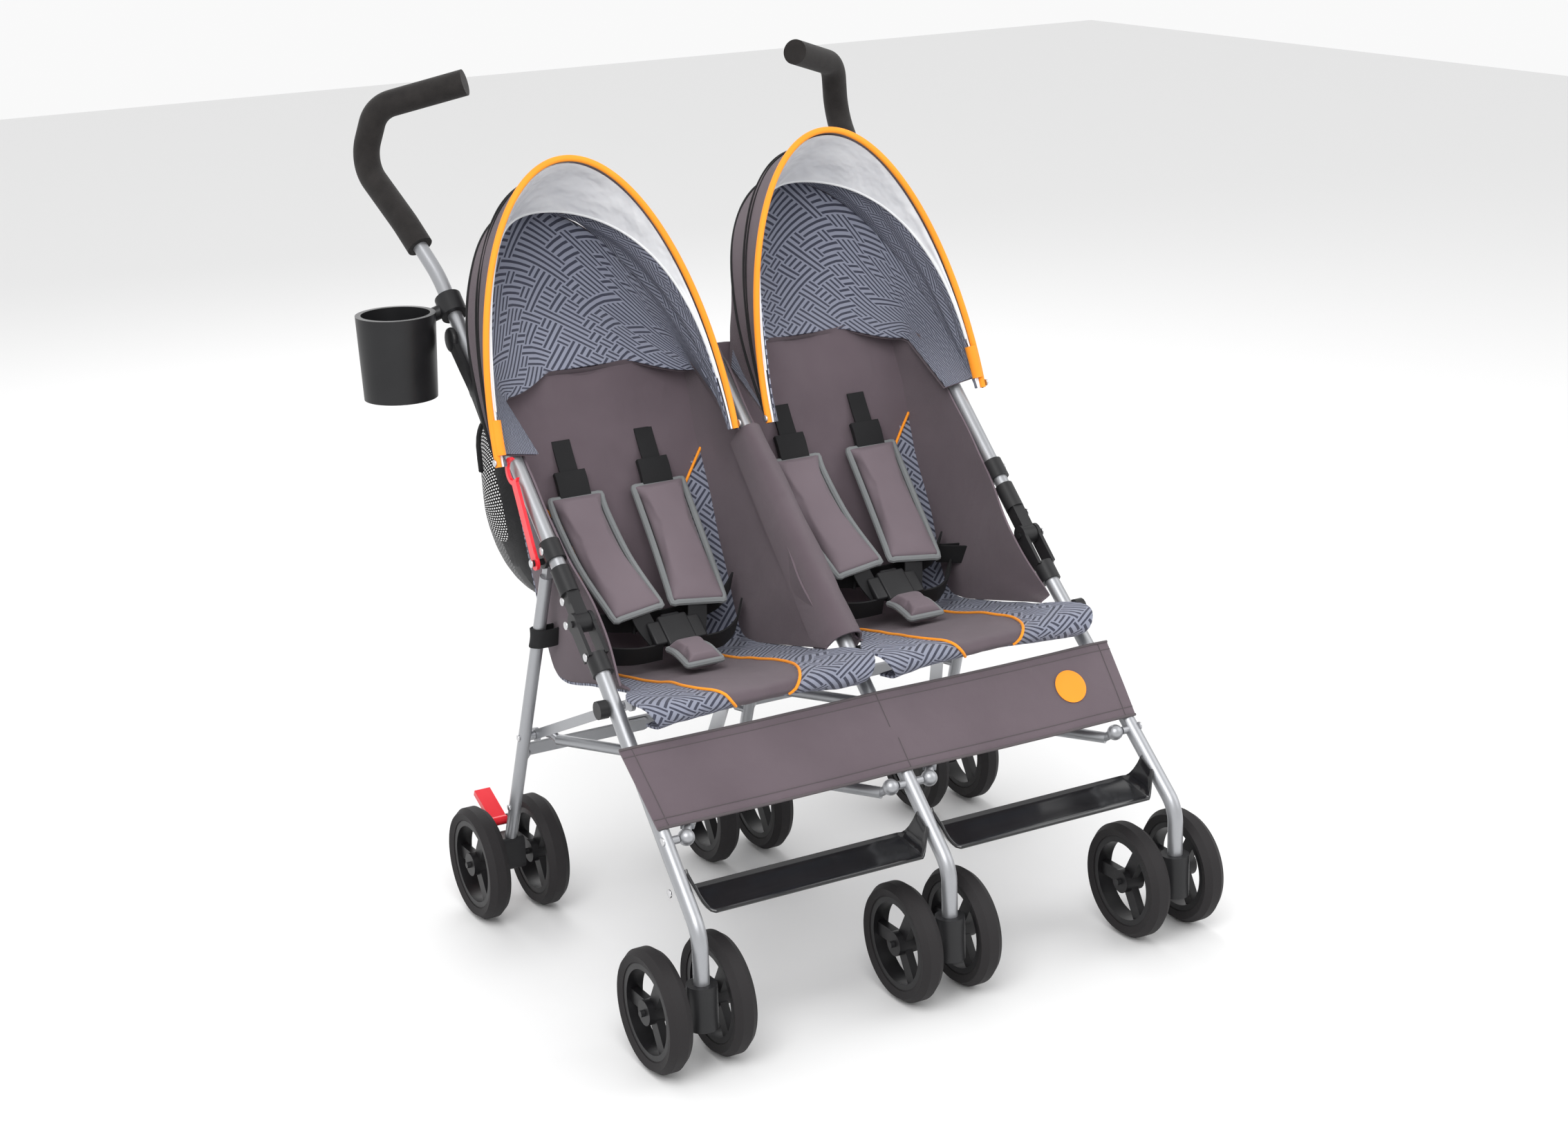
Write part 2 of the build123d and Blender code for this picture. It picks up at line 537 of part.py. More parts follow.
def seats():
    bottoms, backs = [], []
    for side in (-1, 1):
        x0, x1 = bay_range(side)
        pad = strip(SEAT_FRONT, (SEAT_HOLLOW[0] - 6, SEAT_HOLLOW[1] + 1), SEAT_T / 2, x0 + 4.4, x1 - 4.4)
        roll = pin(x0 + 4.4, x1 - 4.4, SEAT_FRONT, SEAT_T / 2 + 3)
        bottoms.append(pad + roll)
        back = strip((SEAT_HOLLOW[0] + 8, SEAT_HOLLOW[1] - 2), SEAT_TOP, SEAT_T / 2, x0, x1)
        wall = [(190, 392), (SEAT_HOLLOW[0] + 4, SEAT_HOLLOW[1] + 6), SEAT_TOP,
                (SEAT_TOP[0] - 30, SEAT_TOP[1] + 6), on_tube(0, -16), (200, 402)]
        wall[3] = on_tube(330, -14)
        for w0, w1 in ((x0, x0 + 4), (x1 - 4, x1)):
            back = back + plate(wall, w0, w1)
        backs.append(back)
    keep("seat_bottoms", *bottoms)
    keep("seat_backs", *backs)


def storage_bag():
    bags = []
    for side in (-1, 1):
        x0, x1 = bay_range(side)
        outline = [(575, 640), (690, 612), (668, 455), (590, 396), (478, 400), (477, 430)]
        hollow = [(579, 660), (686, 620), (665, 457), (588, 400), (482, 404), (481, 430)]
        bags.append(plate(outline, x0 + 10, x1 - 10) - plate(hollow, x0 + 12, x1 - 12))
    keep("storage_bag", *bags)


def calf_band():
    half = LEG_SPACING + WHEEL_SPLAY + 12
    off = TUBE_R + GAP
    lo, hi = (BAND_BOTTOM, BAND_TOP)
    a = (lo[0] + N[0] * off, lo[1] + N[1] * off)
    b = (hi[0] + N[0] * off, hi[1] + N[1] * off)
    c = (hi[0] + N[0] * (off + BAND_T), hi[1] + N[1] * (off + BAND_T))
    d = (lo[0] + N[0] * (off + BAND_T), lo[1] + N[1] * (off + BAND_T))
    keep("calf_band", plate([a, b, c, d], -half, half))


def footrest(name, side):
    foot_x = leg_x(side, 232)
    lo, hi = sorted((side * (TUBE_R + GAP), foot_x - side * (TUBE_R + GAP)))
    tread = block(lo, hi, -30, 24, 186, 191)
    ears = []
    for x0 in (lo, hi - 4):
        ears.append(plate([(-22, 188), (18, 188), (34, 226), (8, 226)], x0, x0 + 4))
    keep(f"footrest_{name}", tread + ears[0] + ears[1])


# ---------------------------------------------------------------- build
for frame_name, frame_side in FRAMES:
    front_leg(frame_name, frame_side)
    hinge_housing(frame_name, frame_side)
    upper_tube(frame_name, frame_side)
    hinge_sleeve(frame_name, frame_side)
    rear_leg(frame_name, frame_side)
    rear_axle(frame_name, frame_side)
    seat_rail(frame_name, frame_side)
    caster(frame_name, frame_side)
for frame_name, frame_side in (("left", -1), ("right", 1)):
    brake_lever(frame_name, frame_side)
    brake_bracket(frame_name, frame_side)
    hood(frame_name, frame_side)
    footrest(frame_name, frame_side)
wheels()
link("cross_tube_left", 0, -1, -1, True)
link("cross_bar_left", -1, 0, 1, False)
link("cross_tube_right", 1, 0, -1, True)
link("cross_bar_right", 0, 1, 1, False)
crossbar("crossbar_left_outer", -1, 1, 0)
crossbar("crossbar_left_inner", 0, -1, 1)
crossbar("crossbar_right_inner", 0, 1, 0)
crossbar("crossbar_right_outer", 1, -1, 1)
fold_latch()
cup_holder()
seats()
storage_bag()
calf_band()

for node, solids in NODES.items():
    pieces = [s.moved(Location(ROW_SHIFT)) for item in solids for s in item.solids()]
    export_step(Compound(children=pieces), f"parts/{node}.step")
print(len(NODES), "nodes")
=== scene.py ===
# %% [markdown]
# # A side-by-side umbrella stroller
# The tubes, joints, wheels and plastic fittings come from the CAD model, which fixes every size.
# This script gives those pieces their finishes and makes what is sewn: two sling seats, two
# canopies, the harnesses, the calf band, the storage bags, and the small trim around them.

# %% Load the frame
import json
import math

import bpy
from mathutils import Matrix, Vector, noise


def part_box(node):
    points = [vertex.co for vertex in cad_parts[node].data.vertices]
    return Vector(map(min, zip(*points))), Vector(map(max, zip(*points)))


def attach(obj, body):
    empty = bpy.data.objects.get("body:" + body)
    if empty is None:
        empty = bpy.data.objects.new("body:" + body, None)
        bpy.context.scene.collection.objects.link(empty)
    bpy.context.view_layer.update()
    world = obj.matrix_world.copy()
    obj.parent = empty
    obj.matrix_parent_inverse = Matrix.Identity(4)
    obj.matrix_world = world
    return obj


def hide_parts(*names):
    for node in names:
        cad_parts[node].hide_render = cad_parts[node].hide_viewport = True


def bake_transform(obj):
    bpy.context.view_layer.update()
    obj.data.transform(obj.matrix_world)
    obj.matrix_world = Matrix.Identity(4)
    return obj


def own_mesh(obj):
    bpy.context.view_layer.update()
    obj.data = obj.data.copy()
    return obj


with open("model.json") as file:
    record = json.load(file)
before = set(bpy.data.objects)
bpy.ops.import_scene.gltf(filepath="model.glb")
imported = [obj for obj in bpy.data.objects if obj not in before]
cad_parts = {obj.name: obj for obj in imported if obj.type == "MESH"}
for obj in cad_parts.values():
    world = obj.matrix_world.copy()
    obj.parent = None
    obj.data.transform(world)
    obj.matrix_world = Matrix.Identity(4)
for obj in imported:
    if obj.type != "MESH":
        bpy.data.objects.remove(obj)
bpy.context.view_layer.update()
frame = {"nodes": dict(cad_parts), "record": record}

# %% [markdown]
# Places are easiest to think of from the middle frame, the front axle and the floor, in
# millimetres, as in a workshop drawing. The shared frame has its origin in the middle of the
# footprint, in metres, so one function turns the first into the second.

# %% Places in the workshop drawing
SHIFT = Vector((26.25, -360.4, 0.0))
SPACING = 318.0                      # from the middle frame to each outer frame
KNEE = (259.0, 454.0)                # the hinge half way up each frame
LEG_BEND = (-40.0, 172.0)            # where each front leg turns down to its caster
SLOPE = math.atan2(KNEE[1] - LEG_BEND[1], KNEE[0] - LEG_BEND[0])
ALONG = (math.cos(SLOPE), math.sin(SLOPE))
HOOD_PIVOT = (408.0, 616.0)          # the rivet that both bows of a canopy turn on


def at(x, y, z):
    """A place in the drawing, as a place in the frame."""
    return (Vector((x, y, z)) + SHIFT) / 1000


def on_tube(along, above=0.0):
    """(y, z) on a side frame's long tube: along it from the knee, and above its centre line."""
    return (KNEE[0] + along * ALONG[0] - above * ALONG[1],
            KNEE[1] + along * ALONG[1] + above * ALONG[0])


print("tube slope", round(math.degrees(SLOPE), 1))

# %% [markdown]
# A sheet of cloth starts as a flat grid primitive. Each corner of the grid is then carried to its
# place by a function of u (across) and v (along), which keeps the grid's own UV map, scaled to
# metres, so that a weave or a print has its true size on the cloth and follows every curve.
# Working on the grid's corners by hand would be slower, and it could not be measured.

# %% Helpers for cloth
SMOOTH_BELOW = math.radians(40)      # edges sharper than this stay sharp


def fresh():
    """Leaves edit mode and selects nothing."""
    if bpy.context.object and bpy.context.object.mode != "OBJECT":
        bpy.ops.object.mode_set(mode="OBJECT")
    bpy.ops.object.select_all(action="DESELECT")


def settle(o, outward=True):
    """Place goes into the mesh, and the faces turn outwards."""
    fresh()
    o.select_set(True)
    bpy.context.view_layer.objects.active = o
    bpy.ops.object.transform_apply(location=True, rotation=True, scale=True)
    bpy.ops.object.mode_set(mode="EDIT")
    bpy.ops.mesh.select_all(action="SELECT")
    if outward:
        bpy.ops.mesh.normals_make_consistent(inside=False)
    bpy.ops.object.mode_set(mode="OBJECT")
    bpy.ops.object.shade_smooth_by_angle(angle=SMOOTH_BELOW)
    return o


def modify(o, kind, **settings):
    """Adds a modifier and applies it."""
    fresh()
    o.select_set(True)
    bpy.context.view_layer.objects.active = o
    m = o.modifiers.new(kind, kind)
    for key, value in settings.items():
        setattr(m, key, value)
    bpy.ops.object.modifier_apply(modifier=m.name)


def cloth(name, across, along, place, size):
    """A grid carried to its place; size is its cut width and length in metres."""
    fresh()
    bpy.ops.mesh.primitive_grid_add(x_subdivisions=across, y_subdivisions=along, size=1)
    o = bpy.context.object
    o.name = name
    for v in o.data.vertices:
        v.co = place(v.co.x + 0.5, v.co.y + 0.5)
    for loop in o.data.uv_layers[0].data:
        loop.uv = (loop.uv[0] * size[0], loop.uv[1] * size[1])
    return o


def flat_area(o):
    return sum(p.area for p in o.data.polygons)


print("cloth helpers ready")

# %% [markdown]
# Piping is a cord in a folded tape, sewn along an edge. A curve with a round bevel gives it, and
# the curve becomes a mesh at once. Webbing is flat, so it is a strip of the same grid cloth, four
# cells wide, that follows a smooth path and then gets its thickness from Solidify.

# %% Helpers for piping and straps
def curve_through(points, steps=8, closed=False):
    """Smooth path through the points."""
    n, out = len(points), []

    def pick(k):
        return Vector(points[k % n] if closed else points[min(max(k, 0), n - 1)])

    for i in range(n if closed else n - 1):
        a, b, c, d = pick(i - 1), pick(i), pick(i + 1), pick(i + 2)
        for s in range(steps):
            t = s / steps
            out.append(0.5 * (2 * b + (c - a) * t + (2 * a - 5 * b + 4 * c - d) * t * t
                              + (3 * b - a - 3 * c + d) * t ** 3))
    if not closed:
        out.append(Vector(points[-1]))
    return out


def piping(name, points, radius, closed=False, steps=8, sides=2):
    """A round cord along a path, as a mesh."""
    fresh()
    path = curve_through(points, steps, closed)
    bpy.ops.curve.primitive_nurbs_path_add()
    o = bpy.context.object
    o.name = name
    o.data.splines.clear()
    s = o.data.splines.new("POLY")
    s.points.add(len(path) - 1)
    for p, q in zip(s.points, path):
        p.co = (*q, 1.0)
    s.use_cyclic_u = closed
    o.data.bevel_depth = radius
    o.data.bevel_resolution = sides
    o.data.use_fill_caps = True
    bpy.ops.object.convert(target="MESH")
    return settle(bpy.context.object)


def strap(name, points, width, thick, side, steps=8):
    """Flat webbing: side gives the direction of its width."""
    path = curve_through(points, steps)
    length = sum((b - a).length for a, b in zip(path, path[1:]))
    side = Vector(side).normalized()

    def place(u, v):
        k = v * (len(path) - 1)
        i = min(int(k), len(path) - 2)
        p = path[i].lerp(path[i + 1], k - i)
        run = (path[i + 1] - path[i]).normalized()
        across = (side - run * side.dot(run)).normalized()
        return p + across * (u - 0.5) * width
    o = cloth(name, 4, len(path) * 2, place, (width, length))
    modify(o, "SOLIDIFY", thickness=thick, offset=0.0)
    return settle(o)


def join(name, pieces):
    """Makes one piece of several, under this name."""
    fresh()
    for p in pieces:
        p.select_set(True)
    bpy.context.view_layer.objects.active = pieces[0]
    bpy.ops.object.join()
    pieces[0].name = name
    return pieces[0]


def dress(o, material, body, slot, squashed=False, replaces=()):
    """Gives a piece its finish and its body; a squashed piece gets its own copy of its mesh."""
    if material is not None:
        o.data.materials.clear()
        o.data.materials.append(material)
    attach(o, body)
    if squashed:
        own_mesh(o)
    if replaces:
        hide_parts(*replaces)
    return o


print("piping and strap helpers ready")

# %% [markdown]
# Shader maths reads best as arithmetic. The class below wraps one socket, so that `1 - mask * 0.3`
# adds the Math nodes it needs. Every other node comes from one method of the finish.

# %% Shader arithmetic
PLACES = ("Generated", "Normal", "UV", "Object")     # outputs of Texture Coordinate, in order


class Value:
    """One number or colour on its way through the material."""

    def __init__(self, finish, socket):
        self.finish, self.socket = finish, socket

    def math(self, operation, *values):
        return self.finish.node("ShaderNodeMath", {"operation": operation}, *values)

    def __add__(self, other):
        return self.math("ADD", self, other)

    def __radd__(self, other):
        return self.math("ADD", other, self)

    def __sub__(self, other):
        return self.math("SUBTRACT", self, other)

    def __rsub__(self, other):
        return self.math("SUBTRACT", other, self)

    def __mul__(self, other):
        return self.math("MULTIPLY", self, other)

    def __rmul__(self, other):
        return self.math("MULTIPLY", other, self)

    def __truediv__(self, other):
        return self.math("DIVIDE", self, other)

    def __rtruediv__(self, other):
        return self.math("DIVIDE", other, self)

    def __lt__(self, other):
        return self.math("LESS_THAN", self, other)

    def __gt__(self, other):
        return self.math("GREATER_THAN", self, other)

    def apply(self, operation, *values):
        return self.math(operation, self, *values)


class Finish:
    """One material: its shader, its nodes, and what they feed."""

    def __init__(self, name, colour, roughness, metallic=0.0, **own):
        self.material = bpy.data.materials.new(name)
        self.material.use_nodes = True
        self.tree = self.material.node_tree
        self.shader = self.tree.nodes["Principled BSDF"]
        self.shader.inputs["Base Color"].default_value = (*colour, 1.0)
        self.shader.inputs["Roughness"].default_value = roughness
        self.shader.inputs["Metallic"].default_value = metallic
        for key, value in own.items():
            self.shader.inputs[key.replace("_", " ")].default_value = value

    def node(self, kind, settings, *values, out=0, **named):
        n = self.tree.nodes.new(kind)
        for key, value in settings.items():
            setattr(n, key, value)
        slots = [(n.inputs[i], v) for i, v in enumerate(values)]
        slots += [(n.inputs[k.replace("_", " ")], v) for k, v in named.items()]
        for socket, value in slots:
            if isinstance(value, Value):
                self.tree.links.new(value.socket, socket)
            elif value is not None:
                socket.default_value = value
        return Value(self, n.outputs[out])

    def place(self, what="Object"):
        return self.node("ShaderNodeTexCoord", {}, out=PLACES.index(what))

    def split(self, vector):
        n = self.tree.nodes.new("ShaderNodeSeparateXYZ")
        self.tree.links.new(vector.socket, n.inputs[0])
        return [Value(self, s) for s in n.outputs]

    def noise(self, scale, detail=3.0, vector=None):
        return self.node("ShaderNodeTexNoise", {}, Vector=vector or self.place(), Scale=scale, Detail=detail)

    def mix(self, amount, a, b):
        n = self.tree.nodes.new("ShaderNodeMix")
        n.data_type = "RGBA"
        for socket, value in ((n.inputs[0], amount), (n.inputs[6], a), (n.inputs[7], b)):
            if isinstance(value, Value):
                self.tree.links.new(value.socket, socket)
            else:
                socket.default_value = value if isinstance(value, float) else (*value, 1.0)
        return Value(self, n.outputs[2])

    def feed(self, socket, value):
        self.tree.links.new(value.socket, self.shader.inputs[socket])

    def bump(self, height, distance, strength=1.0):
        self.feed("Normal", self.node("ShaderNodeBump", {}, Strength=strength, Distance=distance,
                                      Height=height))


print("shader arithmetic ready")

# %% [markdown]
# The frame is sprayed silver: a metallic paint whose flakes scatter the light, a little rougher
# where hands and straps rub it. The mouldings are black polypropylene with a fine spark grain.
# Two noises do most of the work: a fine one for grain or flakes, and a broad one for wear.

# %% Paint and plastic
def silver_paint():
    f = Finish("silver paint", (0.36, 0.37, 0.385), 0.38, 0.75, Coat_Weight=0.2, Coat_Roughness=0.2)
    flake, cloud = f.noise(2600.0, 1.0), f.noise(14.0, 4.0)
    f.feed("Base Color", f.mix(flake * 0.55 + cloud * 0.35, (0.27, 0.275, 0.29), (0.47, 0.48, 0.50)))
    f.feed("Roughness", 0.30 + cloud * 0.16)
    f.bump(flake, 0.00004)
    return f.material


def moulded(name, colour, rough, grain=900.0, depth=0.00006, coat=0.0):
    f = Finish(name, colour, rough, Coat_Weight=coat, Coat_Roughness=0.12, Specular_IOR_Level=0.3)
    spark, cloud = f.noise(grain, 2.0), f.noise(22.0, 3.0)
    light = tuple(min(1.0, c * 1.5 + 0.008) for c in colour)
    f.feed("Base Color", f.mix(cloud * 0.6, colour, light))
    f.feed("Roughness", rough - 0.08 + cloud * 0.16)
    f.bump(spark, depth)
    return f.material


SILVER = silver_paint()
BLACK = moulded("black plastic", (0.012, 0.012, 0.013), 0.42)
CUP = moulded("cup plastic", (0.010, 0.010, 0.011), 0.38, 500.0)
GLOSS = moulded("glossy black plastic", (0.006, 0.006, 0.007), 0.16, 60.0, 0.00005, 0.6)
RED = moulded("red plastic", (0.72, 0.018, 0.03), 0.32, 400.0, 0.00004, 0.3)
STEEL = Finish("rivet steel", (0.62, 0.62, 0.63), 0.28, 1.0)
STEEL.feed("Roughness", 0.22 + STEEL.noise(400.0) * 0.2)
STEEL = STEEL.material
print("paint and plastic ready")

# %% [markdown]
# The grips are closed-cell foam, full of tiny pores, which a Voronoi pattern gives. Each wheel is
# one moulding with a softer tread. The distance from the axle tells the rim from the tyre, so one
# material serves both, with no edge to model.

# %% Foam and rubber
def foam():
    f = Finish("grip foam", (0.016, 0.014, 0.014), 0.9, Sheen_Weight=0.08, Sheen_Roughness=0.5,
               Specular_IOR_Level=0.2)
    pores = f.node("ShaderNodeTexVoronoi", {}, Vector=f.place(), Scale=900.0)
    rough = f.noise(60.0, 4.0)
    f.feed("Base Color", f.mix(rough, (0.010, 0.009, 0.009), (0.030, 0.027, 0.026)))
    f.bump(pores + rough * 0.6, 0.0003)
    return f.material


WHEEL_ROWS = ((0.0, 73.0), (500.0, 73.0))     # the two rows of axles, as (y, z)
RIM_RADIUS = 0.0565


def wheel_rubber():
    """Black rim with a duller tyre: the distance from the nearest axle tells which is which."""
    f = Finish("wheel", (0.02, 0.02, 0.021), 0.5, Specular_IOR_Level=0.3)
    x, y, z = f.split(f.place())
    near = None
    for row in WHEEL_ROWS:
        c = at(0, *row)
        far = ((y - c.y) * (y - c.y) + (z - c.z) * (z - c.z)).apply("SQRT")
        near = far if near is None else near.apply("MINIMUM", far)
    tyre = near > RIM_RADIUS
    cloud, scuff = f.noise(45.0, 4.0), f.noise(320.0, 3.0)
    f.feed("Base Color", f.mix(tyre * 0.7 + cloud * 0.3, (0.007, 0.007, 0.008), (0.017, 0.015, 0.016)))
    f.feed("Roughness", 0.36 + tyre * 0.28 + cloud * 0.1)
    f.bump(scuff * (0.3 + tyre * 0.7), 0.00025)
    return f.material


FOAM = foam()
WHEEL = wheel_rubber()
print("foam and rubber ready")

# %% [markdown]
# The record names a material slot for each CAD node, so the finishes are matched to slots and not
# to nodes one by one. Soft slots have no look here, because their CAD solids are replaced below.

# %% Hard finishes go onto the CAD pieces
LOOKS = {"silver_paint": SILVER, "black_plastic": BLACK, "foam": FOAM, "tyre": WHEEL,
         "red_plastic": RED, "cup_black": CUP, "gloss_black": GLOSS}
for part in frame["record"]["subparts"]:
    look = LOOKS.get(part["material_slot"])
    if look:
        cad_piece = frame["nodes"][part["node"]]
        cad_piece.data.materials.clear()
        cad_piece.data.materials.append(look)
print("dressed the hard pieces")

# %% [markdown]
# The seat cloth is a plain 600-denier polyester: a square weave with a slight sheen. The print is
# the same cloth in pale lavender with dark parallel lines, which run along or across in each
# small block, as a labyrinth does. Orange bias tape covers the piping cord. The print could be
# drawn as an image, but worked out from the cloth's own UV map it stays sharp at any distance.

# %% Plain cloth
THREAD = 0.0011                      # one over-and-under of the weave


def weave(f, u, v, depth):
    k = 2 * math.pi / THREAD
    threads = (u * k).apply("SINE") * (v * k).apply("SINE")
    creases = f.noise(9.0, 3.0)
    fine = f.noise(38.0, 3.0)
    f.bump(threads * 0.06 + creases * 1.2 + fine * 0.45, depth)
    return creases


def plain_cloth(name, dark, light, depth=0.004, rough=0.82, sheen=0.15):
    f = Finish(name, dark, rough, Sheen_Weight=sheen, Sheen_Roughness=0.4, Specular_IOR_Level=0.25)
    u, v, _ = f.split(f.place("UV"))
    creases = weave(f, u, v, depth)
    # painted shade: the colour follows the creases, darker in their hollows and lighter on their ridges
    f.feed("Base Color", f.mix(creases, dark, light))
    return f.material


print("weave ready")

# %% [markdown]
# The print is laid at 45 degrees. A sine of each block's row and column, times a large number,
# jumps about enough to serve as a coin toss, which turns that block's lines or leaves them.

# %% Printed cloth
BLOCK, LINES = 0.0138, 2.0           # one block of the print, and how many lines cross it
LINE_HALF = 0.21                     # half a dark line, as a share of the lines' pitch
DIAGONAL = 0.7071


def printed_cloth(name, pale, dark):
    f = Finish(name, pale, 0.8, Sheen_Weight=0.1, Sheen_Roughness=0.4, Specular_IOR_Level=0.25)
    u, v, _ = f.split(f.place("UV"))
    a, b = (u + v) * DIAGONAL, (u - v) * DIAGONAL
    ca, cb = (a / BLOCK).apply("FLOOR"), (b / BLOCK).apply("FLOOR")
    toss = ((ca * 12.9898 + cb * 78.233).apply("SINE") * 437.58).apply("FRACT")
    turn = toss > 0.5
    fa, fb = (a / BLOCK * LINES).apply("FRACT"), (b / BLOCK * LINES).apply("FRACT")
    along = fa * turn + fb * (1 - turn)
    line = (along - 0.5).apply("ABSOLUTE") < LINE_HALF
    creases = weave(f, u, v, 0.004)
    ground = f.mix(creases, pale, tuple(c * 0.8 for c in pale))
    f.feed("Base Color", f.mix(line * 0.95, ground, dark))
    return f.material


print("print ready")

# %% [markdown]
# Every cloth on the stroller is one of these. The visor is different: a thin white plastic sheet,
# smooth enough to shine, with soft folds.

# %% All the cloths
GREY = plain_cloth("seat cloth", (0.112, 0.085, 0.100), (0.172, 0.134, 0.155))
PAD = plain_cloth("pad cloth", (0.130, 0.102, 0.118), (0.190, 0.153, 0.173), 0.002)
PRINT = printed_cloth("printed cloth", (0.330, 0.350, 0.440), (0.045, 0.048, 0.075))
TAPE = plain_cloth("grey binding", (0.16, 0.17, 0.175), (0.24, 0.25, 0.255), 0.0006)
ORANGE = plain_cloth("orange piping", (0.90, 0.27, 0.012), (0.98, 0.36, 0.03), 0.0005, 0.6, 0.1)
WEBBING = plain_cloth("harness webbing", (0.006, 0.006, 0.007), (0.017, 0.017, 0.018),
                      0.0006, 0.75, 0.04)
VISOR = Finish("visor sheet", (0.80, 0.81, 0.83), 0.22, Coat_Weight=0.35)
VISOR_FOLD_AND_SHADE = VISOR.noise(16.0, 3.0)
# painted shade: the white sheet is coloured darker in the hollows of its folds and lighter on their crests
VISOR.feed("Base Color", VISOR.mix(VISOR_FOLD_AND_SHADE, (0.66, 0.67, 0.70), (0.90, 0.91, 0.92)))
VISOR.bump(VISOR_FOLD_AND_SHADE, 0.010)
VISOR = VISOR.material
HEM = plain_cloth("white hem", (0.74, 0.75, 0.76), (0.86, 0.87, 0.88), 0.0008, 0.6, 0.2)
print("cloth finishes ready")

# %% [markdown]
# Each seat is a sling: one length of cloth that runs under a front roll, back to a hollow, and up
# to the top hem. Its side walls climb from the sling's edges to the frame tubes. The sling is one
# sheet carried along that profile, a little slack between its edges, and the walls are ruled
# sheets from the tube to the sling.

# %% The sling's profile
SLING_HALF = 133.0                   # half the sling's width
NOSE_FLARE = 0.20                    # how much wider the cloth gets at the front roll
SLING = [(152, 352), (122, 358), (105, 369), (104, 382), (116, 391), (150, 389), (200, 380),
         (260, 366), (320, 352), (372, 342), (402, 346), (424, 378), (446, 430), (478, 508),
         (512, 592), (546, 684), (551, 690), (557, 684), (556, 670)]
PROFILE = curve_through([(0, y, z) for y, z in SLING], 6)
RUN = [0.0]
for a, b in zip(PROFILE, PROFILE[1:]):
    RUN.append(RUN[-1] + (b - a).length)


def on_sling(distance):
    """(y, z) at this distance along the profile, in mm."""
    distance = min(max(distance, 0.0), RUN[-1] - 0.001)
    i = next(k for k in range(len(RUN) - 1) if RUN[k + 1] > distance)
    p = PROFILE[i].lerp(PROFILE[i + 1], (distance - RUN[i]) / (RUN[i + 1] - RUN[i]))
    return p.y, p.z


def distance_at(y, z):
    """The distance along the profile of its point nearest to (y, z)."""
    best = min(range(len(PROFILE)), key=lambda k: (PROFILE[k].y - y) ** 2 + (PROFILE[k].z - z) ** 2)
    return RUN[best]


HOLLOW, TOP = distance_at(400, 344), distance_at(549, 689)
FRONT, WALL_START = distance_at(104, 376), distance_at(190, 383)
print("sling length mm", round(RUN[-1]), "hollow at", round(HOLLOW), "top at", round(TOP))


def sling_point(side, u, d, lift=0.0):
    """A point of the sling: u from 0 at the middle frame to 1 at the outer one."""
    y, z = on_sling(d)
    y2, z2 = on_sling(d + 4)
    run = Vector((0, y2 - y, z2 - z)).normalized()
    up = Vector((0, -run.z, run.y))
    wide = 1.0
    if d < WALL_START:
        wide = 1.0 + NOSE_FLARE * math.sin(math.pi * min(max((d - FRONT + 18) / 118, 0.0), 1.0))
    half = SLING_HALF * wide
    x = side * (SPACING / 2 + (u - 0.5) * 2 * half)
    slack = math.sin(math.pi * u)
    sag = 7.0 * slack if d < HOLLOW else 5.0 * slack
    crease = 2.6 * noise.noise(Vector((x * 0.016, d * 0.011, side * 3.1)))
    crease += 1.1 * noise.noise(Vector((x * 0.05, d * 0.03, 7.0 + side)))
    p = Vector((x, y, z)) + up * (crease - sag + lift)
    return at(*p)


# %% [markdown]
# The sling is cut in two at the hollow, because the back folds down with the handles while the
# seat stays with the legs. The outer strips are the print, and orange piping marks the seam.

# %% The two slings
STRIP = 0.235                        # share of the width that each printed strip takes


def strip_edge(d):
    """Where the print ends, as a share of the width, along the sling."""
    if d < WALL_START:
        return STRIP + 0.12 * (1 - (d - FRONT) / (WALL_START - FRONT))
    rise = (d - HOLLOW) / (TOP - HOLLOW)
    return STRIP if rise < 0.45 else STRIP * max(0.0, 1 - (rise - 0.45) / 0.22)


def sling(side, name, d0, d1):
    """One half of a seat's sling, from d0 to d1 along the profile, and its flat area."""
    size = (2 * SLING_HALF / 1000, (d1 - d0) / 1000)
    o = cloth(name, 44, 60, lambda u, v: sling_point(side, u, d0 + (d1 - d0) * v), size)
    area = flat_area(o)
    o.data.materials.append(GREY)
    o.data.materials.append(PRINT)
    cut = o.data.uv_layers[0].data
    for face in o.data.polygons:
        u, v = (sum(cut[k].uv[n] for k in face.loop_indices) / face.loop_total / size[n] for n in (0, 1))
        edge = strip_edge(d0 + (d1 - d0) * v)
        face.material_index = 1 if min(u, 1 - u) < edge else 0
    modify(o, "SOLIDIFY", thickness=0.003, offset=0.0)
    settle(o)
    return o, area


def seam(side, name, d0, d1):
    """Piping along the edge of the printed strips."""
    cords = []
    for mirrored in (0, 1):
        pts = []
        for k in range(25):
            d = d0 + (d1 - d0) * k / 24
            e = strip_edge(d)
            pts.append(sling_point(side, 1 - e if mirrored else e, d, 2.6))
        cords.append(piping(f"{name} {mirrored}", pts, 0.0019, steps=2))
    return join(name, cords)


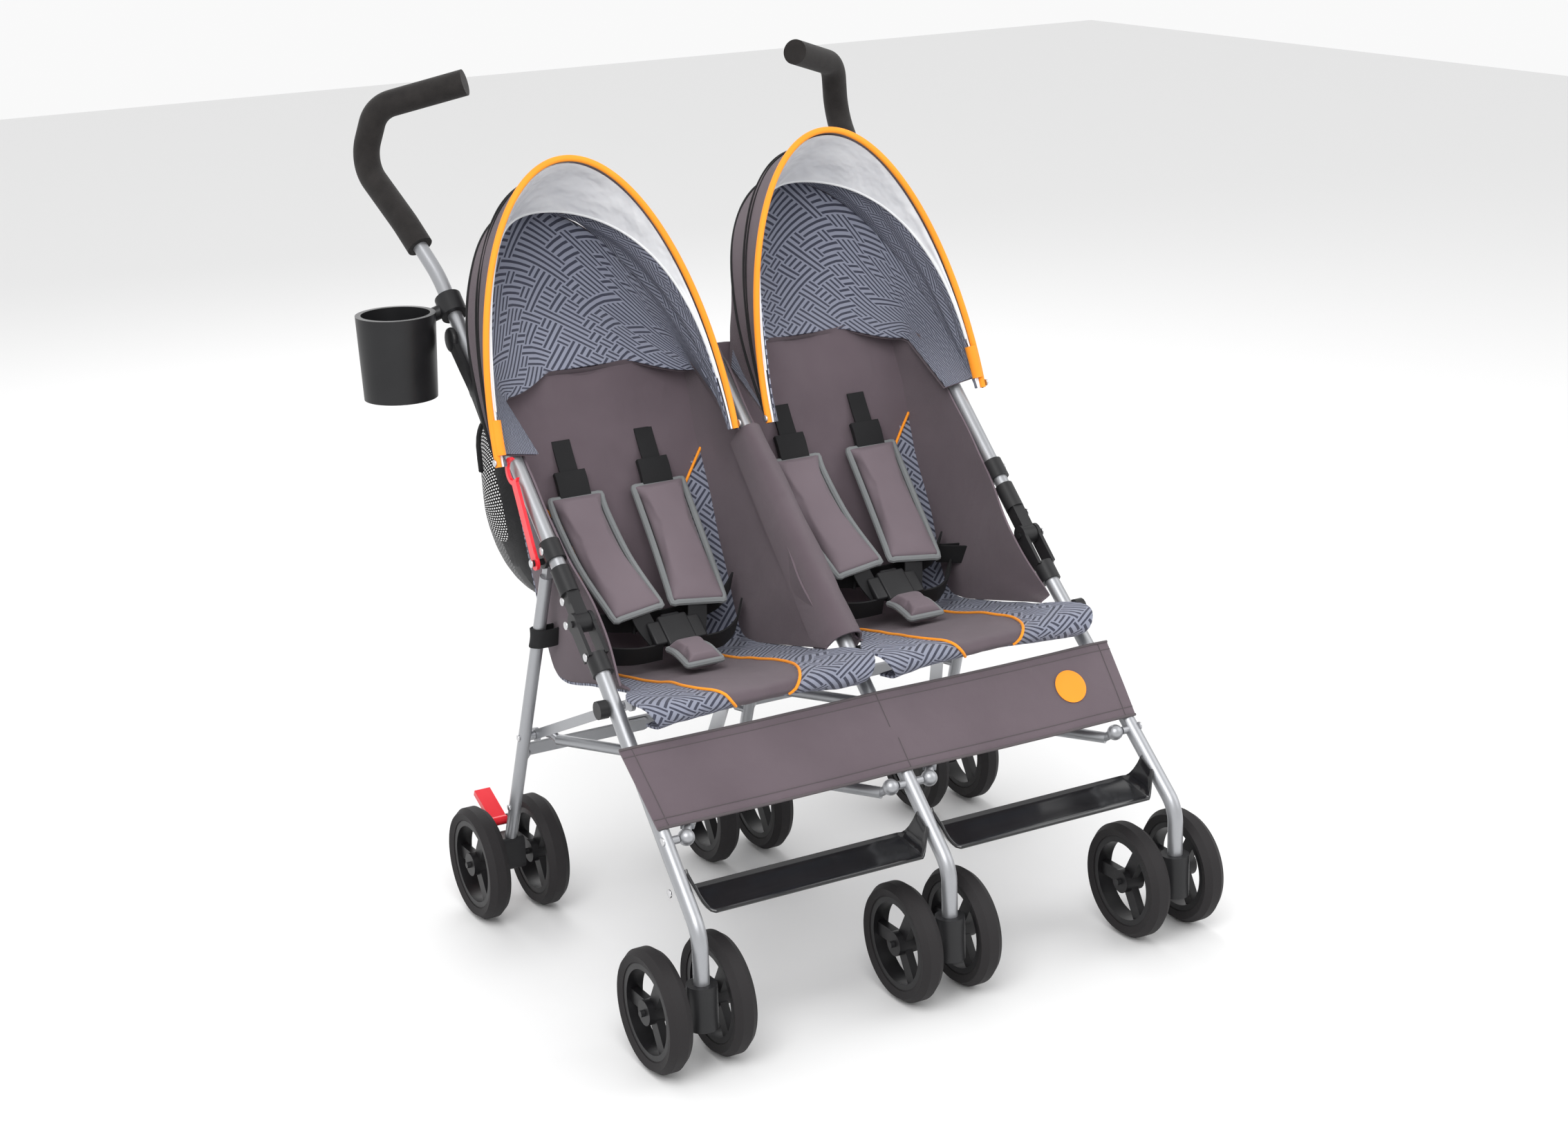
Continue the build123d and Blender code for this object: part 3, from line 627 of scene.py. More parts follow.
for side, word in ((-1, "left"), (1, "right")):
    seat, area = sling(side, f"seat_cloth_{word}", 0, HOLLOW)
    dress(seat, None, "middle_frame", "fabric_grey", True)
    back, area = sling(side, f"back_cloth_{word}", HOLLOW - 4, RUN[-1])
    dress(back, None, "handle_middle", "fabric_grey", True)
    dress(seam(side, f"seat_piping_{word}", FRONT - 12, HOLLOW - 8), ORANGE, "middle_frame",
          "orange_trim", True)
    dress(seam(side, f"back_piping_{word}", HOLLOW + 4, HOLLOW + (TOP - HOLLOW) * 0.665), ORANGE,
          "handle_middle", "orange_trim", True)
    if side > 0:
        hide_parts("seat_bottoms")
        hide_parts("seat_backs")
print("slings in place")

# %% [markdown]
# A side wall is stitched to the sling's edge below and sleeved on the frame tube above, so it is
# ruled between those two lines, with a shallow hollow where the cloth hangs slack.

# %% Side walls
WALL_LOW, WALL_HIGH = -92.0, 325.0   # along the frame tube, from the knee


def wall_point(side, inner, along, down):
    """along from 0 at the front to 1 at the top, down from 0 at the tube to 1 at the sling."""
    s = WALL_LOW + (WALL_HIGH - WALL_LOW) * along
    y0, z0 = on_tube(s, 2.0)
    clear = 12.0 + 11.0 * math.exp(-(s / 75.0) ** 2)
    d = WALL_START + (TOP - WALL_START) * along ** 0.86
    y1, z1 = on_sling(d)
    y1, z1 = y1 + 1.0, z1 + 2.0
    edge = SPACING / 2 - SLING_HALF + 1.5
    x = clear + (edge - clear) * down - 5.0 * math.sin(math.pi * down) * math.sin(math.pi * along)
    x += 2.2 * noise.noise(Vector((s * 0.014, down * 2.2, side * 5 + inner)))
    y, z = y0 + (y1 - y0) * down, z0 + (z1 - z0) * down
    if inner:
        return at(side * x, y, z)
    return at(side * (SPACING - x), y, z)


for side, word in ((-1, "left"), (1, "right")):
    for inner in (0, 1):
        where = f"{word}_{'inner' if inner else 'outer'}"
        wall = cloth(f"side_wall_{where}", 60, 16, lambda u, v: wall_point(side, inner, u, v),
                     (0.42, 0.16))
        area = flat_area(wall)
        modify(wall, "SOLIDIFY", thickness=0.0026, offset=0.0)
        dress(settle(wall), GREY, "handle_middle", "fabric_grey", True)
print("side walls in place")

# %% [markdown]
# Between the seats the cloth runs over the middle tube in a broad sleeve, which hides the middle hinge. It
# is not given a body here.

# %% The sleeve over the middle tube
SLEEVE = [(-24, -34), (-23, -8), (-19, 11), (-11, 20), (0, 23), (11, 20), (19, 11), (23, -8), (24, -34)]
SECTION = curve_through([(x, above, 0) for x, above in SLEEVE], 5)
SLEEVE_START, SLEEVE_LONG = -96.0, 318.0      # along the middle tube, from its knee
SLEEVE_TAPER = 0.30
HINGE_REACH = 22.0                   # a distance to each side of the knee; the places computed from it are not used


def sleeve_point(u, v):
    k = u * (len(SECTION) - 1)
    i = min(int(k), len(SECTION) - 2)
    p = SECTION[i].lerp(SECTION[i + 1], k - i)
    s = SLEEVE_START + SLEEVE_LONG * v
    pull = 1.0 - SLEEVE_TAPER * v
    slack = 1.6 * noise.noise(Vector((p.x * 0.05, s * 0.018, 2.0)))
    y, z = on_tube(s, p.y * pull + slack)
    return at(p.x * pull * (1 + 0.03 * slack), y, z)


sleeve = cloth("middle_sleeve", 36, 64, sleeve_point, (0.13, SLEEVE_LONG / 1000))
modify(sleeve, "SOLIDIFY", thickness=0.0024, offset=0.0)
settle(sleeve)
sleeve.data.materials.append(GREY)
at(0, *on_tube(-HINGE_REACH))
at(0, *on_tube(HINGE_REACH))
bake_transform(sleeve)

# %% [markdown]
# Each canopy is one curved skin between two bows that hinge at the frame. Under its front edge
# hangs a white sun visor with its own hem, and the inside is lined with the print. The skin is a
# grid whose rows are arches, sunk slightly between the bows, and every row stays an ellipse.

# %% Canopy shapes
HOOD_CENTRE, HOOD_HALF, HOOD_HEIGHT = 186.5, 161.5, 362.0    # middle, half width, reach of a bow
FRONT_BOW, REAR_BOW = 70.7, 47.0     # degrees above the horizon, towards the handles


def arch_point(side, t, angle, inset=0.0):
    """t from 0 at the outer end of a bow to 1 at its inner end."""
    phi = math.pi * t
    reach = (HOOD_HEIGHT - inset) * math.sin(phi)
    a = math.radians(angle)
    x = side * (HOOD_CENTRE + math.cos(phi) * (HOOD_HALF - inset))
    return Vector((x, HOOD_PIVOT[0] + reach * math.cos(a), HOOD_PIVOT[1] + reach * math.sin(a)))


def skin_point(side, t, w, inset):
    """The outer skin: w from 0 at the rear bow to 1 at the front one."""
    angle = REAR_BOW + (FRONT_BOW - REAR_BOW) * w
    sink = 5.0 * math.sin(math.pi * 2 * (w if w < 0.5 else w - 0.5)) * math.sin(math.pi * t)
    ripple = 1.5 * noise.noise(Vector((t * 9, w * 2.5, side + inset)))
    return at(*arch_point(side, t, angle, inset + sink + ripple))


def crescent_at(t):
    """How deep the visor is along its bow: full in the middle and nothing at the ends."""
    return math.sin(math.pi * t) ** 2.6


def visor_point(side, t, w):
    """The visor hangs inside the front bow: w from 0 at the bow to 1 at its hem."""
    crescent = crescent_at(t)
    angle = FRONT_BOW - 1.2 - 17.5 * crescent * w
    ripple = 1.6 * noise.noise(Vector((t * 7, w * 2, side * 2.0)))
    inset = 4.0 + (2.0 + 20.0 * crescent) * w + ripple
    return at(*arch_point(side, t, angle, inset))


def lining_point(side, t, w):
    """The lining starts at the visor's hem and goes back to the rear bow."""
    crescent = crescent_at(t)
    front = FRONT_BOW - 2.0 - 15.0 * crescent
    angle = front + (REAR_BOW + 1 - front) * w
    sag = 9.0 + 9.0 * math.sin(math.pi * w) * math.sin(math.pi * t)
    folds = 7.0 * noise.noise(Vector((t * 6.0, w * 3.0 + t * 3, 11 + side)))
    return at(*arch_point(side, t, angle, sag + folds))


GUSSET = 0.16                        # the share of the back panel's width in each side gusset


def back_point(side, u, v, behind):
    """The canopy's back: v from 0 at the seat's top hem to 1 at the rear bow. Both side gussets
    follow the tubes down to the bow's ends."""
    top = arch_point(side, 0.015 + 0.97 * u, REAR_BOW, 2.0 if behind else 8.0)
    across = min(1.0, max(0.0, (u - GUSSET) / (1 - 2 * GUSSET)))
    x = side * (SPACING - 24 - across * (SPACING - 48))
    edge = min(1.0, 1.6 * (0.5 - 0.5 * math.cos(2 * math.pi * across)))
    hem = Vector((x, 512 + 38 * edge, 672 + 16 * edge))
    end = Vector((x, HOOD_PIVOT[0] + 8, HOOD_PIVOT[1] + 6))
    low = end.lerp(hem, min(1.0, min(u, 1 - u) / GUSSET))
    p = low.lerp(top, v)
    belly = math.sin(math.pi * v) * math.sin(math.pi * u)
    folds = 11.0 * noise.noise(Vector((u * 4.6, v * 2.4 + u * 2, 4 + side)))
    push = 16.0 * belly + folds * belly + (3.0 if behind else -3.0)
    return at(p.x, p.y + push * 0.87, p.z - push * 0.5)


print("canopy arch", 2 * HOOD_HALF, "mm wide and", HOOD_HEIGHT, "mm deep")

# %% [markdown]
# Five sheets hang on each pair of bows: the skin, the visor and the lining, and the back in two
# layers. One table lists them with their finish, grid, cut and thickness, so that one short loop
# makes them all. They could each be drawn out by hand, but then their edges would not meet.

# %% Canopies
BOW_STEPS = 48


def along_bow(place, first=0.0, last=1.0):
    """Places along a bow, for piping that is sewn to it."""
    return [place(first + (last - first) * k / BOW_STEPS) for k in range(BOW_STEPS + 1)]


def canopy_sheets(side):
    """Name, shape, finish, slot, grid, cut size and thickness of each sheet of one canopy."""
    return (("canopy_skin", lambda u, v: skin_point(side, u, v, 0.0), GREY, "fabric_grey",
             (64, 20), (0.86, 0.15), 0.002),
            ("visor", lambda u, v: visor_point(side, u, v), VISOR, "visor",
             (64, 10), (0.86, 0.11), 0.0012),
            ("canopy_lining", lambda u, v: lining_point(side, u, v), PRINT, "fabric_print",
             (64, 20), (0.84, 0.13), 0.0016),
            ("canopy_back", lambda u, v: back_point(side, u, v, True), GREY, "fabric_grey",
             (40, 36), (0.36, 0.21), 0.0016),
            ("canopy_back_lining", lambda u, v: back_point(side, u, v, False), PRINT, "fabric_print",
             (40, 36), (0.36, 0.21), 0.0016))


for side, word in ((-1, "left"), (1, "right")):
    hood = f"hood_{word}"
    edge = piping(f"canopy_edge_{word}", along_bow(lambda t: at(*arch_point(side, t, FRONT_BOW, -1.0))),
                  0.0042, steps=2, sides=3)
    dress(edge, ORANGE, hood, "orange_trim", True)
    hem = piping(f"visor_hem_{word}", along_bow(lambda t: visor_point(side, t, 1.0), 0.06, 0.94),
                 0.0019, steps=2)
    dress(hem, HEM, hood, "visor", True)
    seams = [piping(f"canopy seam {w}", along_bow(lambda t: skin_point(side, t, w, -1.2)), r, steps=2)
             for w, r in ((0.50, 0.0016), (0.56, 0.0012), (0.02, 0.0022))]
    dress(join(f"canopy_seams_{word}", seams), WEBBING, hood, "webbing", True)

    for name, shape, look, slot, (across, along), size, thick in canopy_sheets(side):
        o = cloth(f"{name}_{word}", across, along, shape, size)
        area = flat_area(o)
        modify(o, "SOLIDIFY", thickness=thick, offset=0.0)
        whole = [f"canopy_{word}"] if name == "canopy_skin" else ()
        dress(settle(o), look, hood, slot, True, whole)
        carrier = "upper_tube_middle" if "back" in name else f"canopy_edge_{word}"
        print(o.name, round(area, 4), "m2")

# %% [markdown]
# The calf band is one hemmed rectangle sleeved on all three front legs, seamed at the middle leg.
# Its hems are folded over twice, so they stand slightly proud, and a round patch sits at one end.

# %% Calf band
BAND_TOP, BAND_BOTTOM = (129.0, 333.0), (56.0, 259.0)
BAND_HALF = 343.0
BAND_CUT = 2 * BAND_HALF / 1000


def band_point(u, v, lift=0.0):
    """u from 0 at the left end to 1 at the right, v from 0 at the lower hem to 1 at the upper."""
    x = (u * 2 - 1) * (BAND_HALF - 9 * (1 - v))
    y = BAND_BOTTOM[0] + (BAND_TOP[0] - BAND_BOTTOM[0]) * v
    z = BAND_BOTTOM[1] + (BAND_TOP[1] - BAND_BOTTOM[1]) * v
    span = abs(math.sin(math.pi * (x / SPACING)))
    slack = 3.0 * span * math.sin(math.pi * v) + 1.2 * noise.noise(Vector((x * 0.012, v * 2.0, 1.0)))
    out = 12.0 - 4.0 * span + slack + lift
    return at(x, y - 0.69 * out, z + 0.72 * out)


band = cloth("calf_band_cloth", 90, 20, band_point, (BAND_CUT, 0.104))
modify(band, "SOLIDIFY", thickness=0.0022, offset=0.0)
dress(settle(band), GREY, "middle_frame", "fabric_grey", True, ["calf_band"])

# %% [markdown]
# Stitching is modelled as thread, a very thin cord just above the cloth, because a seam that is
# only drawn on would vanish from the mesh. The folded edges are thicker cords of the same thread.

# %% Hems, seams and patch of the calf band
THREAD_RADIUS, FOLD_RADIUS = 0.0006, 0.0018
ABOVE_CLOTH = 1.3
SEAM_THREAD = plain_cloth("seam thread", (0.07, 0.058, 0.064), (0.11, 0.095, 0.10), 0.0004)


def stitched(points, thread=THREAD_RADIUS):
    return piping("stitches", points, thread, steps=1, sides=1)


hems = []
for v in (0.0, 0.11, 0.90, 1.0):
    hems.append(stitched([band_point(k / 60, v, ABOVE_CLOTH) for k in range(61)],
                         FOLD_RADIUS if v in (0.0, 1.0) else THREAD_RADIUS))
for u, v0, v1 in ((0.022, 0, 1), (0.978, 0, 1), (0.5, 0.55, 1), (0.507, 0.0, 0.4)):
    hems.append(stitched([band_point(u, v0 + (v1 - v0) * k / 14, ABOVE_CLOTH) for k in range(15)]))
dress(join("calf_band_hems", hems), SEAM_THREAD, "middle_frame", "fabric_grey", True)

fresh()
bpy.ops.mesh.primitive_circle_add(vertices=40, radius=1.0, fill_type="NGON")
patch = bpy.context.object
patch.name = "band_patch"
bpy.ops.object.mode_set(mode="EDIT")
bpy.ops.mesh.select_all(action="SELECT")
bpy.ops.mesh.inset(thickness=0.12)
bpy.ops.mesh.inset(thickness=0.35)
bpy.ops.object.mode_set(mode="OBJECT")
for v in patch.data.vertices:
    r = math.hypot(v.co.x, v.co.y)
    raised = 2.9 if r < 0.9 else 2.0
    v.co = band_point(0.887 + v.co.x * 0.031, 0.53 + v.co.y * 0.21, raised)
modify(patch, "SOLIDIFY", thickness=0.0016, offset=0.0)
dress(settle(patch), ORANGE, "middle_frame", "orange_trim", True)
print("patch points", len(patch.data.vertices))

# %% [markdown]
# Shoulder and crotch pads are two layers of cloth over wadding, bound round the edge with grey
# tape. One flat pad is inflated by a short cloth simulation, so that it bulges between its edges
# as stuffed cloth does, and copies of it are then bent along the straps that carry them.

# %% One stuffed pad
PAD_LONG, PAD_WIDE, PAD_THICK = 0.182, 0.070, 0.012
SWELL_FRAMES = 20


def flat_pad():
    fresh()
    bpy.ops.mesh.primitive_cube_add(size=1.0)
    o = bpy.context.object
    o.name = "pad pattern"
    bpy.ops.object.mode_set(mode="EDIT")
    bpy.ops.mesh.select_all(action="SELECT")
    bpy.ops.transform.resize(value=(PAD_WIDE, PAD_LONG, PAD_THICK))
    bpy.ops.mesh.bevel(offset=0.0035, segments=3, affect="EDGES")
    bpy.ops.object.mode_set(mode="OBJECT")
    modify(o, "REMESH", mode="VOXEL", voxel_size=0.004)
    return o


def inflate(o, pressure, cap):
    """Swells the piece with the cloth solver, then limits how far any point has moved."""
    rest = [v.co.copy() for v in o.data.vertices]
    fresh()
    o.select_set(True)
    bpy.context.view_layer.objects.active = o
    m = o.modifiers.new("Cloth", "CLOTH")
    m.settings.use_pressure = True
    m.settings.uniform_pressure_force = pressure
    m.settings.effector_weights.gravity = 0.0
    m.point_cache.frame_end = SWELL_FRAMES
    for f in range(1, SWELL_FRAMES + 1):
        bpy.context.scene.frame_set(f)
    bpy.ops.object.modifier_apply(modifier=m.name)
    bpy.context.scene.frame_set(1)
    for v, was in zip(o.data.vertices, rest):
        step = v.co - was
        if step.length > cap:
            v.co = was + step * (cap / step.length)
    return o


shoulder_pad = inflate(flat_pad(), 4.0, 0.006)
modify(shoulder_pad, "SUBSURF", levels=1, render_levels=1)
print("pad pattern:", len(shoulder_pad.data.vertices), "points")

# %% [markdown]
# A pad is bent by carrying each point of the pattern to the path: its length runs along the path,
# its width stays level, and its thickness stands up from both. The binding follows the pad's
# outline in the same way, as a closed cord of tape.

# %% Bending a pad and binding its edge
def along_path(path, k):
    """The place and direction at share k of a path."""
    k = min(max(k, 0.0), 0.9999) * (len(path) - 1)
    i = int(k)
    return path[i].lerp(path[i + 1], k - i), (path[i + 1] - path[i]).normalized()


def level_across(run):
    """The level direction across a path that runs this way."""
    side = Vector((1, 0, 0))
    return (side - run * side.dot(run)).normalized()


def bend(pattern, name, points, wide=1.0):
    """A copy of the pattern laid along a path, with its width level."""
    path = curve_through(points, 10)
    o = pattern.copy()
    o.data = pattern.data.copy()
    o.name = name
    bpy.context.scene.collection.objects.link(o)
    for v in o.data.vertices:
        p, run = along_path(path, 0.5 + v.co.y / PAD_LONG)
        side = level_across(run)
        v.co = p + side * v.co.x * wide + run.cross(side) * v.co.z
    return settle(o)


RING_POINTS, TAPE_RADIUS = 44, 0.0042


def binding(name, points, wide):
    """Tape round a pad's edge, as a ring of points on its four sides."""
    path = curve_through(points, 10)
    ring = []
    half = wide / 2
    for k in range(RING_POINTS):
        turn = k / RING_POINTS * 4
        leg, share = int(turn), turn - int(turn)
        x = [(-1 + 2 * share), 1, (1 - 2 * share), -1][leg] * half
        y = [0.0, share, 1.0, 1 - share][leg]
        p, run = along_path(path, y)
        ring.append(p + level_across(run) * x * (0.97 if leg in (0, 2) else 1.0))
    return piping(name, ring, TAPE_RADIUS, closed=True, steps=2)


print("pads can be bent and bound")

# %% [markdown]
# The webbing is 25 mm wide. Each shoulder strap leaves the back near its top, passes through its
# pad and ends at the buckle, where the waist straps and the crotch strap meet it.

# %% The buckle
BUCKLE_BLOCKS = ((0, 40, 44, 14), (-27, 18, 34, 10), (27, 18, 34, 10), (0, 26, 52, 9))
BUCKLE_LEAN = math.radians(38)       # it lies back against the rider


def buckle(name, x):
    """A side-release buckle: its body, the shoulders of both prongs, and the strap's slot. Each
    block has its place across, width, length and height."""
    parts = []
    for dx, wide, long, tall in BUCKLE_BLOCKS:
        fresh()
        bpy.ops.mesh.primitive_cube_add(size=1.0)
        o = bpy.context.object
        bpy.ops.object.mode_set(mode="EDIT")
        bpy.ops.mesh.select_all(action="SELECT")
        bpy.ops.transform.resize(value=(wide / 1000, long / 1000, tall / 1000))
        bpy.ops.mesh.bevel(offset=0.0028, segments=3, affect="EDGES")
        bpy.ops.object.mode_set(mode="OBJECT")
        tip = Matrix.Translation(at(x + dx, 330, 394)) @ Matrix.Rotation(BUCKLE_LEAN, 4, "X")
        o.data.transform(tip)
        parts.append(o)
    return settle(join(name, parts))


print("buckle blocks:", len(BUCKLE_BLOCKS))

# %% [markdown]
# Every strap is a short list of places on the middle of the webbing. They are written out for one
# shoulder, and `out` and `dx` mirror them to the other. A Velcro loop, wider and thicker than the
# webbing, sits on each shoulder strap above its pad.

# %% Harnesses
SHOULDER = 58                        # from the middle of a seat to each shoulder strap
WEB_WIDE, WEB_THICK = 0.025, 0.0024
LEVEL = (1, 0, 0)
CROTCH_SHARE = 0.66                  # the crotch pad's width, as a share of a shoulder pad's


def shoulder_webs(bay, dx):
    """The webbing of one shoulder: above the pad, the loop, below the pad, and round the waist."""
    x, low = bay + dx, bay + dx * 0.62
    out = 1 if dx > 0 else -1
    pad_end = low + dx * 0.1
    up = [at(x, 519, 606), at(x, 510, 590), at(x, 494, 564), at(x, 478, 536)]
    loop = [at(x, 498, 570), at(x, 491, 560), at(x, 486, 550), at(x, 482, 541)]
    down = [at(pad_end, 352, 424), at(low, 342, 404), at(bay + dx * 0.46, 330, 386)]
    waist = [at(bay + out * 24, 322, 374), at(bay + out * 62, 330, 372),
             at(bay + out * 98, 360, 374), at(bay + out * 126, 398, 384)]
    upper = [at(pad_end, 360, 403), at(bay + out * 84, 374, 408), at(bay + out * 124, 416, 414)]
    across = [at(bay, 376, 397), at(bay + out * 34, 370, 400), at(pad_end, 360, 403)]
    return [strap("web", up, WEB_WIDE, 0.0022, LEVEL, 6),
            strap("loop", loop, 0.042, 0.007, LEVEL, 6),
            strap("web", down, WEB_WIDE, WEB_THICK, LEVEL, 8),
            strap("waist", waist, 0.027, WEB_THICK, (0, -0.45, 0.9), 8),
            strap("upper", upper, 0.026, WEB_THICK, (0, -0.35, 0.95), 8),
            strap("across", across, 0.026, WEB_THICK, (0, -0.3, 0.95), 6)]


def bound_pad(name, tape_name, path, share, body):
    """A stuffed pad along a path, and the tape round its edge."""
    pad = bend(shoulder_pad, name, path, share)
    dress(pad, PAD, body, "fabric_grey", True)
    dress(binding(tape_name, path, PAD_WIDE * share), TAPE, body, "grey_binding", True)


for side, word in ((-1, "left"), (1, "right")):
    webs, bay = [], side * SPACING / 2
    for n, dx in enumerate((-SHOULDER, SHOULDER)):
        x, low = bay + dx, bay + dx * 0.62
        hang = [at(x, 482, 540), at(x, 462, 516), at(x - dx * 0.08, 412, 468),
                at(low + dx * 0.1, 348, 420)]
        bound_pad(f"shoulder_pad_{word}_{n}", f"pad_binding_{word}_{n}", hang, 1.0, "handle_middle")
        webs += shoulder_webs(bay, dx)
    dress(join(f"harness_webbing_{word}", webs), WEBBING, "handle_middle", "webbing", True)
    crotch = [at(bay, 256, 374), at(bay, 272, 378), at(bay, 290, 381), at(bay, 308, 380)]
    bound_pad(f"crotch_pad_{word}", f"crotch_binding_{word}", crotch, CROTCH_SHARE, "middle_frame")
    dress(buckle(f"buckle_{word}", bay), BLACK, "middle_frame", "black_plastic", True)
bpy.data.objects.remove(shoulder_pad)
print("harnesses in place")

# %% [markdown]
# Behind each seat hangs a black mesh bag with a stiff hoop at its mouth. It is a lofted shell: the
# section shrinks towards both ends, and the bottom sags. The net is made by the material's Alpha.

# %% The bag's net and lining
NET_PITCH, HOLE_RADIUS = 0.0042, 0.30        # the hole's radius is a share of the pitch


def net():
    """Round holes in a staggered grid, cut by Alpha."""
    f = Finish("bag net", (0.012, 0.012, 0.013), 0.8, Sheen_Weight=0.2)
    u, v, _ = f.split(f.place("UV"))
    row = (v / NET_PITCH).apply("FLOOR")
    shift = (row / 2).apply("FRACT")
    a = (u / NET_PITCH + shift).apply("FRACT") - 0.5
    b = (v / NET_PITCH).apply("FRACT") - 0.5
    hole = (a * a + b * b).apply("SQRT") < HOLE_RADIUS
    f.feed("Alpha", 1 - hole * 0.75)
    f.feed("Base Color", f.mix(f.noise(30.0), (0.008, 0.008, 0.009), (0.03, 0.03, 0.032)))
    return f.material


NET = net()
LINER = plain_cloth("bag cloth", (0.010, 0.010, 0.011), (0.024, 0.024, 0.026), 0.003)
print("net and lining ready")

# %% [markdown]
# The bag's middle section is one smooth line, from the mouth round the bottom and up the seat's
# back. Towards both ends the section shrinks round its own centre, and the bottom sags a little.

# %% Storage bags
BAG_HALF = 126                       # half the bag's width
BAG_CUT = 0.26                       # the width of both of its cloths, in metres
BAG_CENTRE = Vector((0, 580, 520))
BAG = [(686, 612), (682, 560), (668, 480), (630, 425), (575, 400), (510, 402), (486, 425), (498, 480),
       (528, 560), (566, 640)]
BAG_LINE = curve_through([(0, y, z) for y, z in BAG], 6)


def bag_point(side, u, v, swell):
    """u across the bag, v from 0 at the mouth to 1 at the top of the seat's side."""
    p, _ = along_path(BAG_LINE, v)
    shrink = 1.0 - 0.62 * abs(2 * u - 1) ** 7
    q = BAG_CENTRE + (p - BAG_CENTRE) * shrink * swell
    x = side * (SPACING / 2) + (u - 0.5) * 2 * BAG_HALF
    sag = -8.0 * math.sin(math.pi * u) * max(0.0, (500 - q.z) / 100)
    ruck = 2.6 * noise.noise(Vector((u * 7, v * 6, 3.0 + side)))
    return at(x, q.y + ruck, q.z + sag + ruck * 0.6)


for side, word in ((-1, "left"), (1, "right")):
    back_net = cloth(f"bag_net_{word}", 44, 44, lambda u, v: bag_point(side, u, v * 0.56, 1.0),
                     (BAG_CUT, 0.42))
    area = flat_area(back_net)
    both_bags = ["storage_bag"] if side > 0 else ()
    dress(settle(back_net), NET, "handle_middle", "mesh_black", True, both_bags)
    liner = cloth(f"bag_liner_{word}", 36, 30, lambda u, v: bag_point(side, u, 0.5 + v * 0.5, 0.98),
                  (BAG_CUT, 0.34))
    area = flat_area(liner)
    modify(liner, "SOLIDIFY", thickness=0.0012, offset=0.0)
    dress(settle(liner), LINER, "handle_middle", "mesh_black", True)
    mouth = [bag_point(side, k / 24, 0.0, 1.0) for k in range(25)]
    hoop = piping(f"bag_hoop_{word}", mouth, 0.0034, steps=2)
    dress(hoop, WEBBING, "handle_middle", "webbing", True)
print("bags in place")

# %% [markdown]
# The footrests are springy black strips with a raised rim. Each end turns up into an ear that is
# riveted to its leg. A grid carries the strip, and the rim is the grid's edge turned up.

# %% Footrests
EAR_SHARE, EAR_NARROW = 0.055, 0.62  # each ear's share of the length, and how much it narrows


def foot_point(side, u, v):
    """u across from the middle leg to the outer one, v from the front edge to the back."""
    low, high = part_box(f"footrest_{'left' if side < 0 else 'right'}")
    near, far = (high.x, low.x) if side < 0 else (low.x, high.x)
    ends = min(u, 1 - u)
    ear = max(0.0, 1 - ends / EAR_SHARE)
    x = near + (far - near) * u
    narrow = 0.5 - 0.5 * ear * EAR_NARROW
    y = low.y + 0.004 + (high.y - low.y - 0.008) * (0.5 + (v - 0.5) * 2 * narrow)
    lean = (v - 0.5) * 0.012
    rim = 0.0028 * (abs(2 * v - 1) ** 8)
    z = low.z + 0.004 + lean + rim + (high.z - low.z - 0.010) * ear * ear
    return Vector((x, y, z))


for side, word in ((-1, "left"), (1, "right")):
    rest = cloth(f"foot_strip_{word}", 90, 16, lambda u, v: foot_point(side, u, v), (0.31, 0.06))
    modify(rest, "SOLIDIFY", thickness=0.0034, offset=0.0)
    modify(rest, "BEVEL", width=0.0008, segments=2)
    dress(settle(rest), GLOSS, "middle_frame", "gloss_black", True, [f"footrest_{word}"])
print("footrests in place")

# %% [markdown]
# Rivets hold every moulding to its tube. Each is a short cylinder whose edges are bevelled into a
# dome, turned to face outwards and set on the face of the piece that it fastens.

# %% Rivets
RIVET_RADIUS, RIVET_TALL = 5.2, 2.6
SMALL_RIVET = 4.2


def dome(name, place, face, radius=RIVET_RADIUS, tall=RIVET_TALL):
    fresh()
    bpy.ops.mesh.primitive_cylinder_add(vertices=20, radius=radius / 1000, depth=tall / 1000)
    o = bpy.context.object
    bpy.ops.object.mode_set(mode="EDIT")
    bpy.ops.mesh.select_all(action="SELECT")
    bpy.ops.mesh.bevel(offset=tall * 0.00042, segments=3, affect="EDGES")
    bpy.ops.object.mode_set(mode="OBJECT")
    turn = Vector(face).to_track_quat("Z", "Y").to_matrix().to_4x4()
    o.data.transform(Matrix.Translation(place) @ turn)
    o.name = name
    return o


REAR_PIN = (346.2, 508.7)           # (y, z) of the pin that the rear leg hangs on
REAR_FOOT = (497.0, 84.0)            # the foot of the rear leg


def side_rivets(side, word):
    """Rivets on one outer frame, by body. Each place is (y, z), and x is the face it sits on."""
    leg, handle, rear = f"{word}_frame", f"handle_{word}", f"rear_{word}"
    pin_face = 337.6 if side > 0 else 341.0
    places = ((*KNEE, leg, 339.0), (*on_tube(-46), leg, 331.4), (*on_tube(32), handle, 331.6),
              (*on_tube(104), handle, 331.6), (*REAR_PIN, handle, pin_face),
              (20, 200, leg, 336.5), (38, 256, leg, 333.6))
    sets = {leg: [], handle: [], rear: []}
    for y, z, body, x in places:
        sets[body].append(dome("rivet", at(side * x, y, z), (side, 0, 0)))
    for z in (150.0, 256.0):
        run = (z - REAR_FOOT[1]) / (REAR_PIN[1] - REAR_FOOT[1])
        y = REAR_FOOT[0] + (REAR_PIN[0] - REAR_FOOT[0]) * run
        face = 331 - 13 * run + 8.6
        sets[rear].append(dome("rivet", at(side * face, y, z), (side, 0, 0), SMALL_RIVET))
    return sets


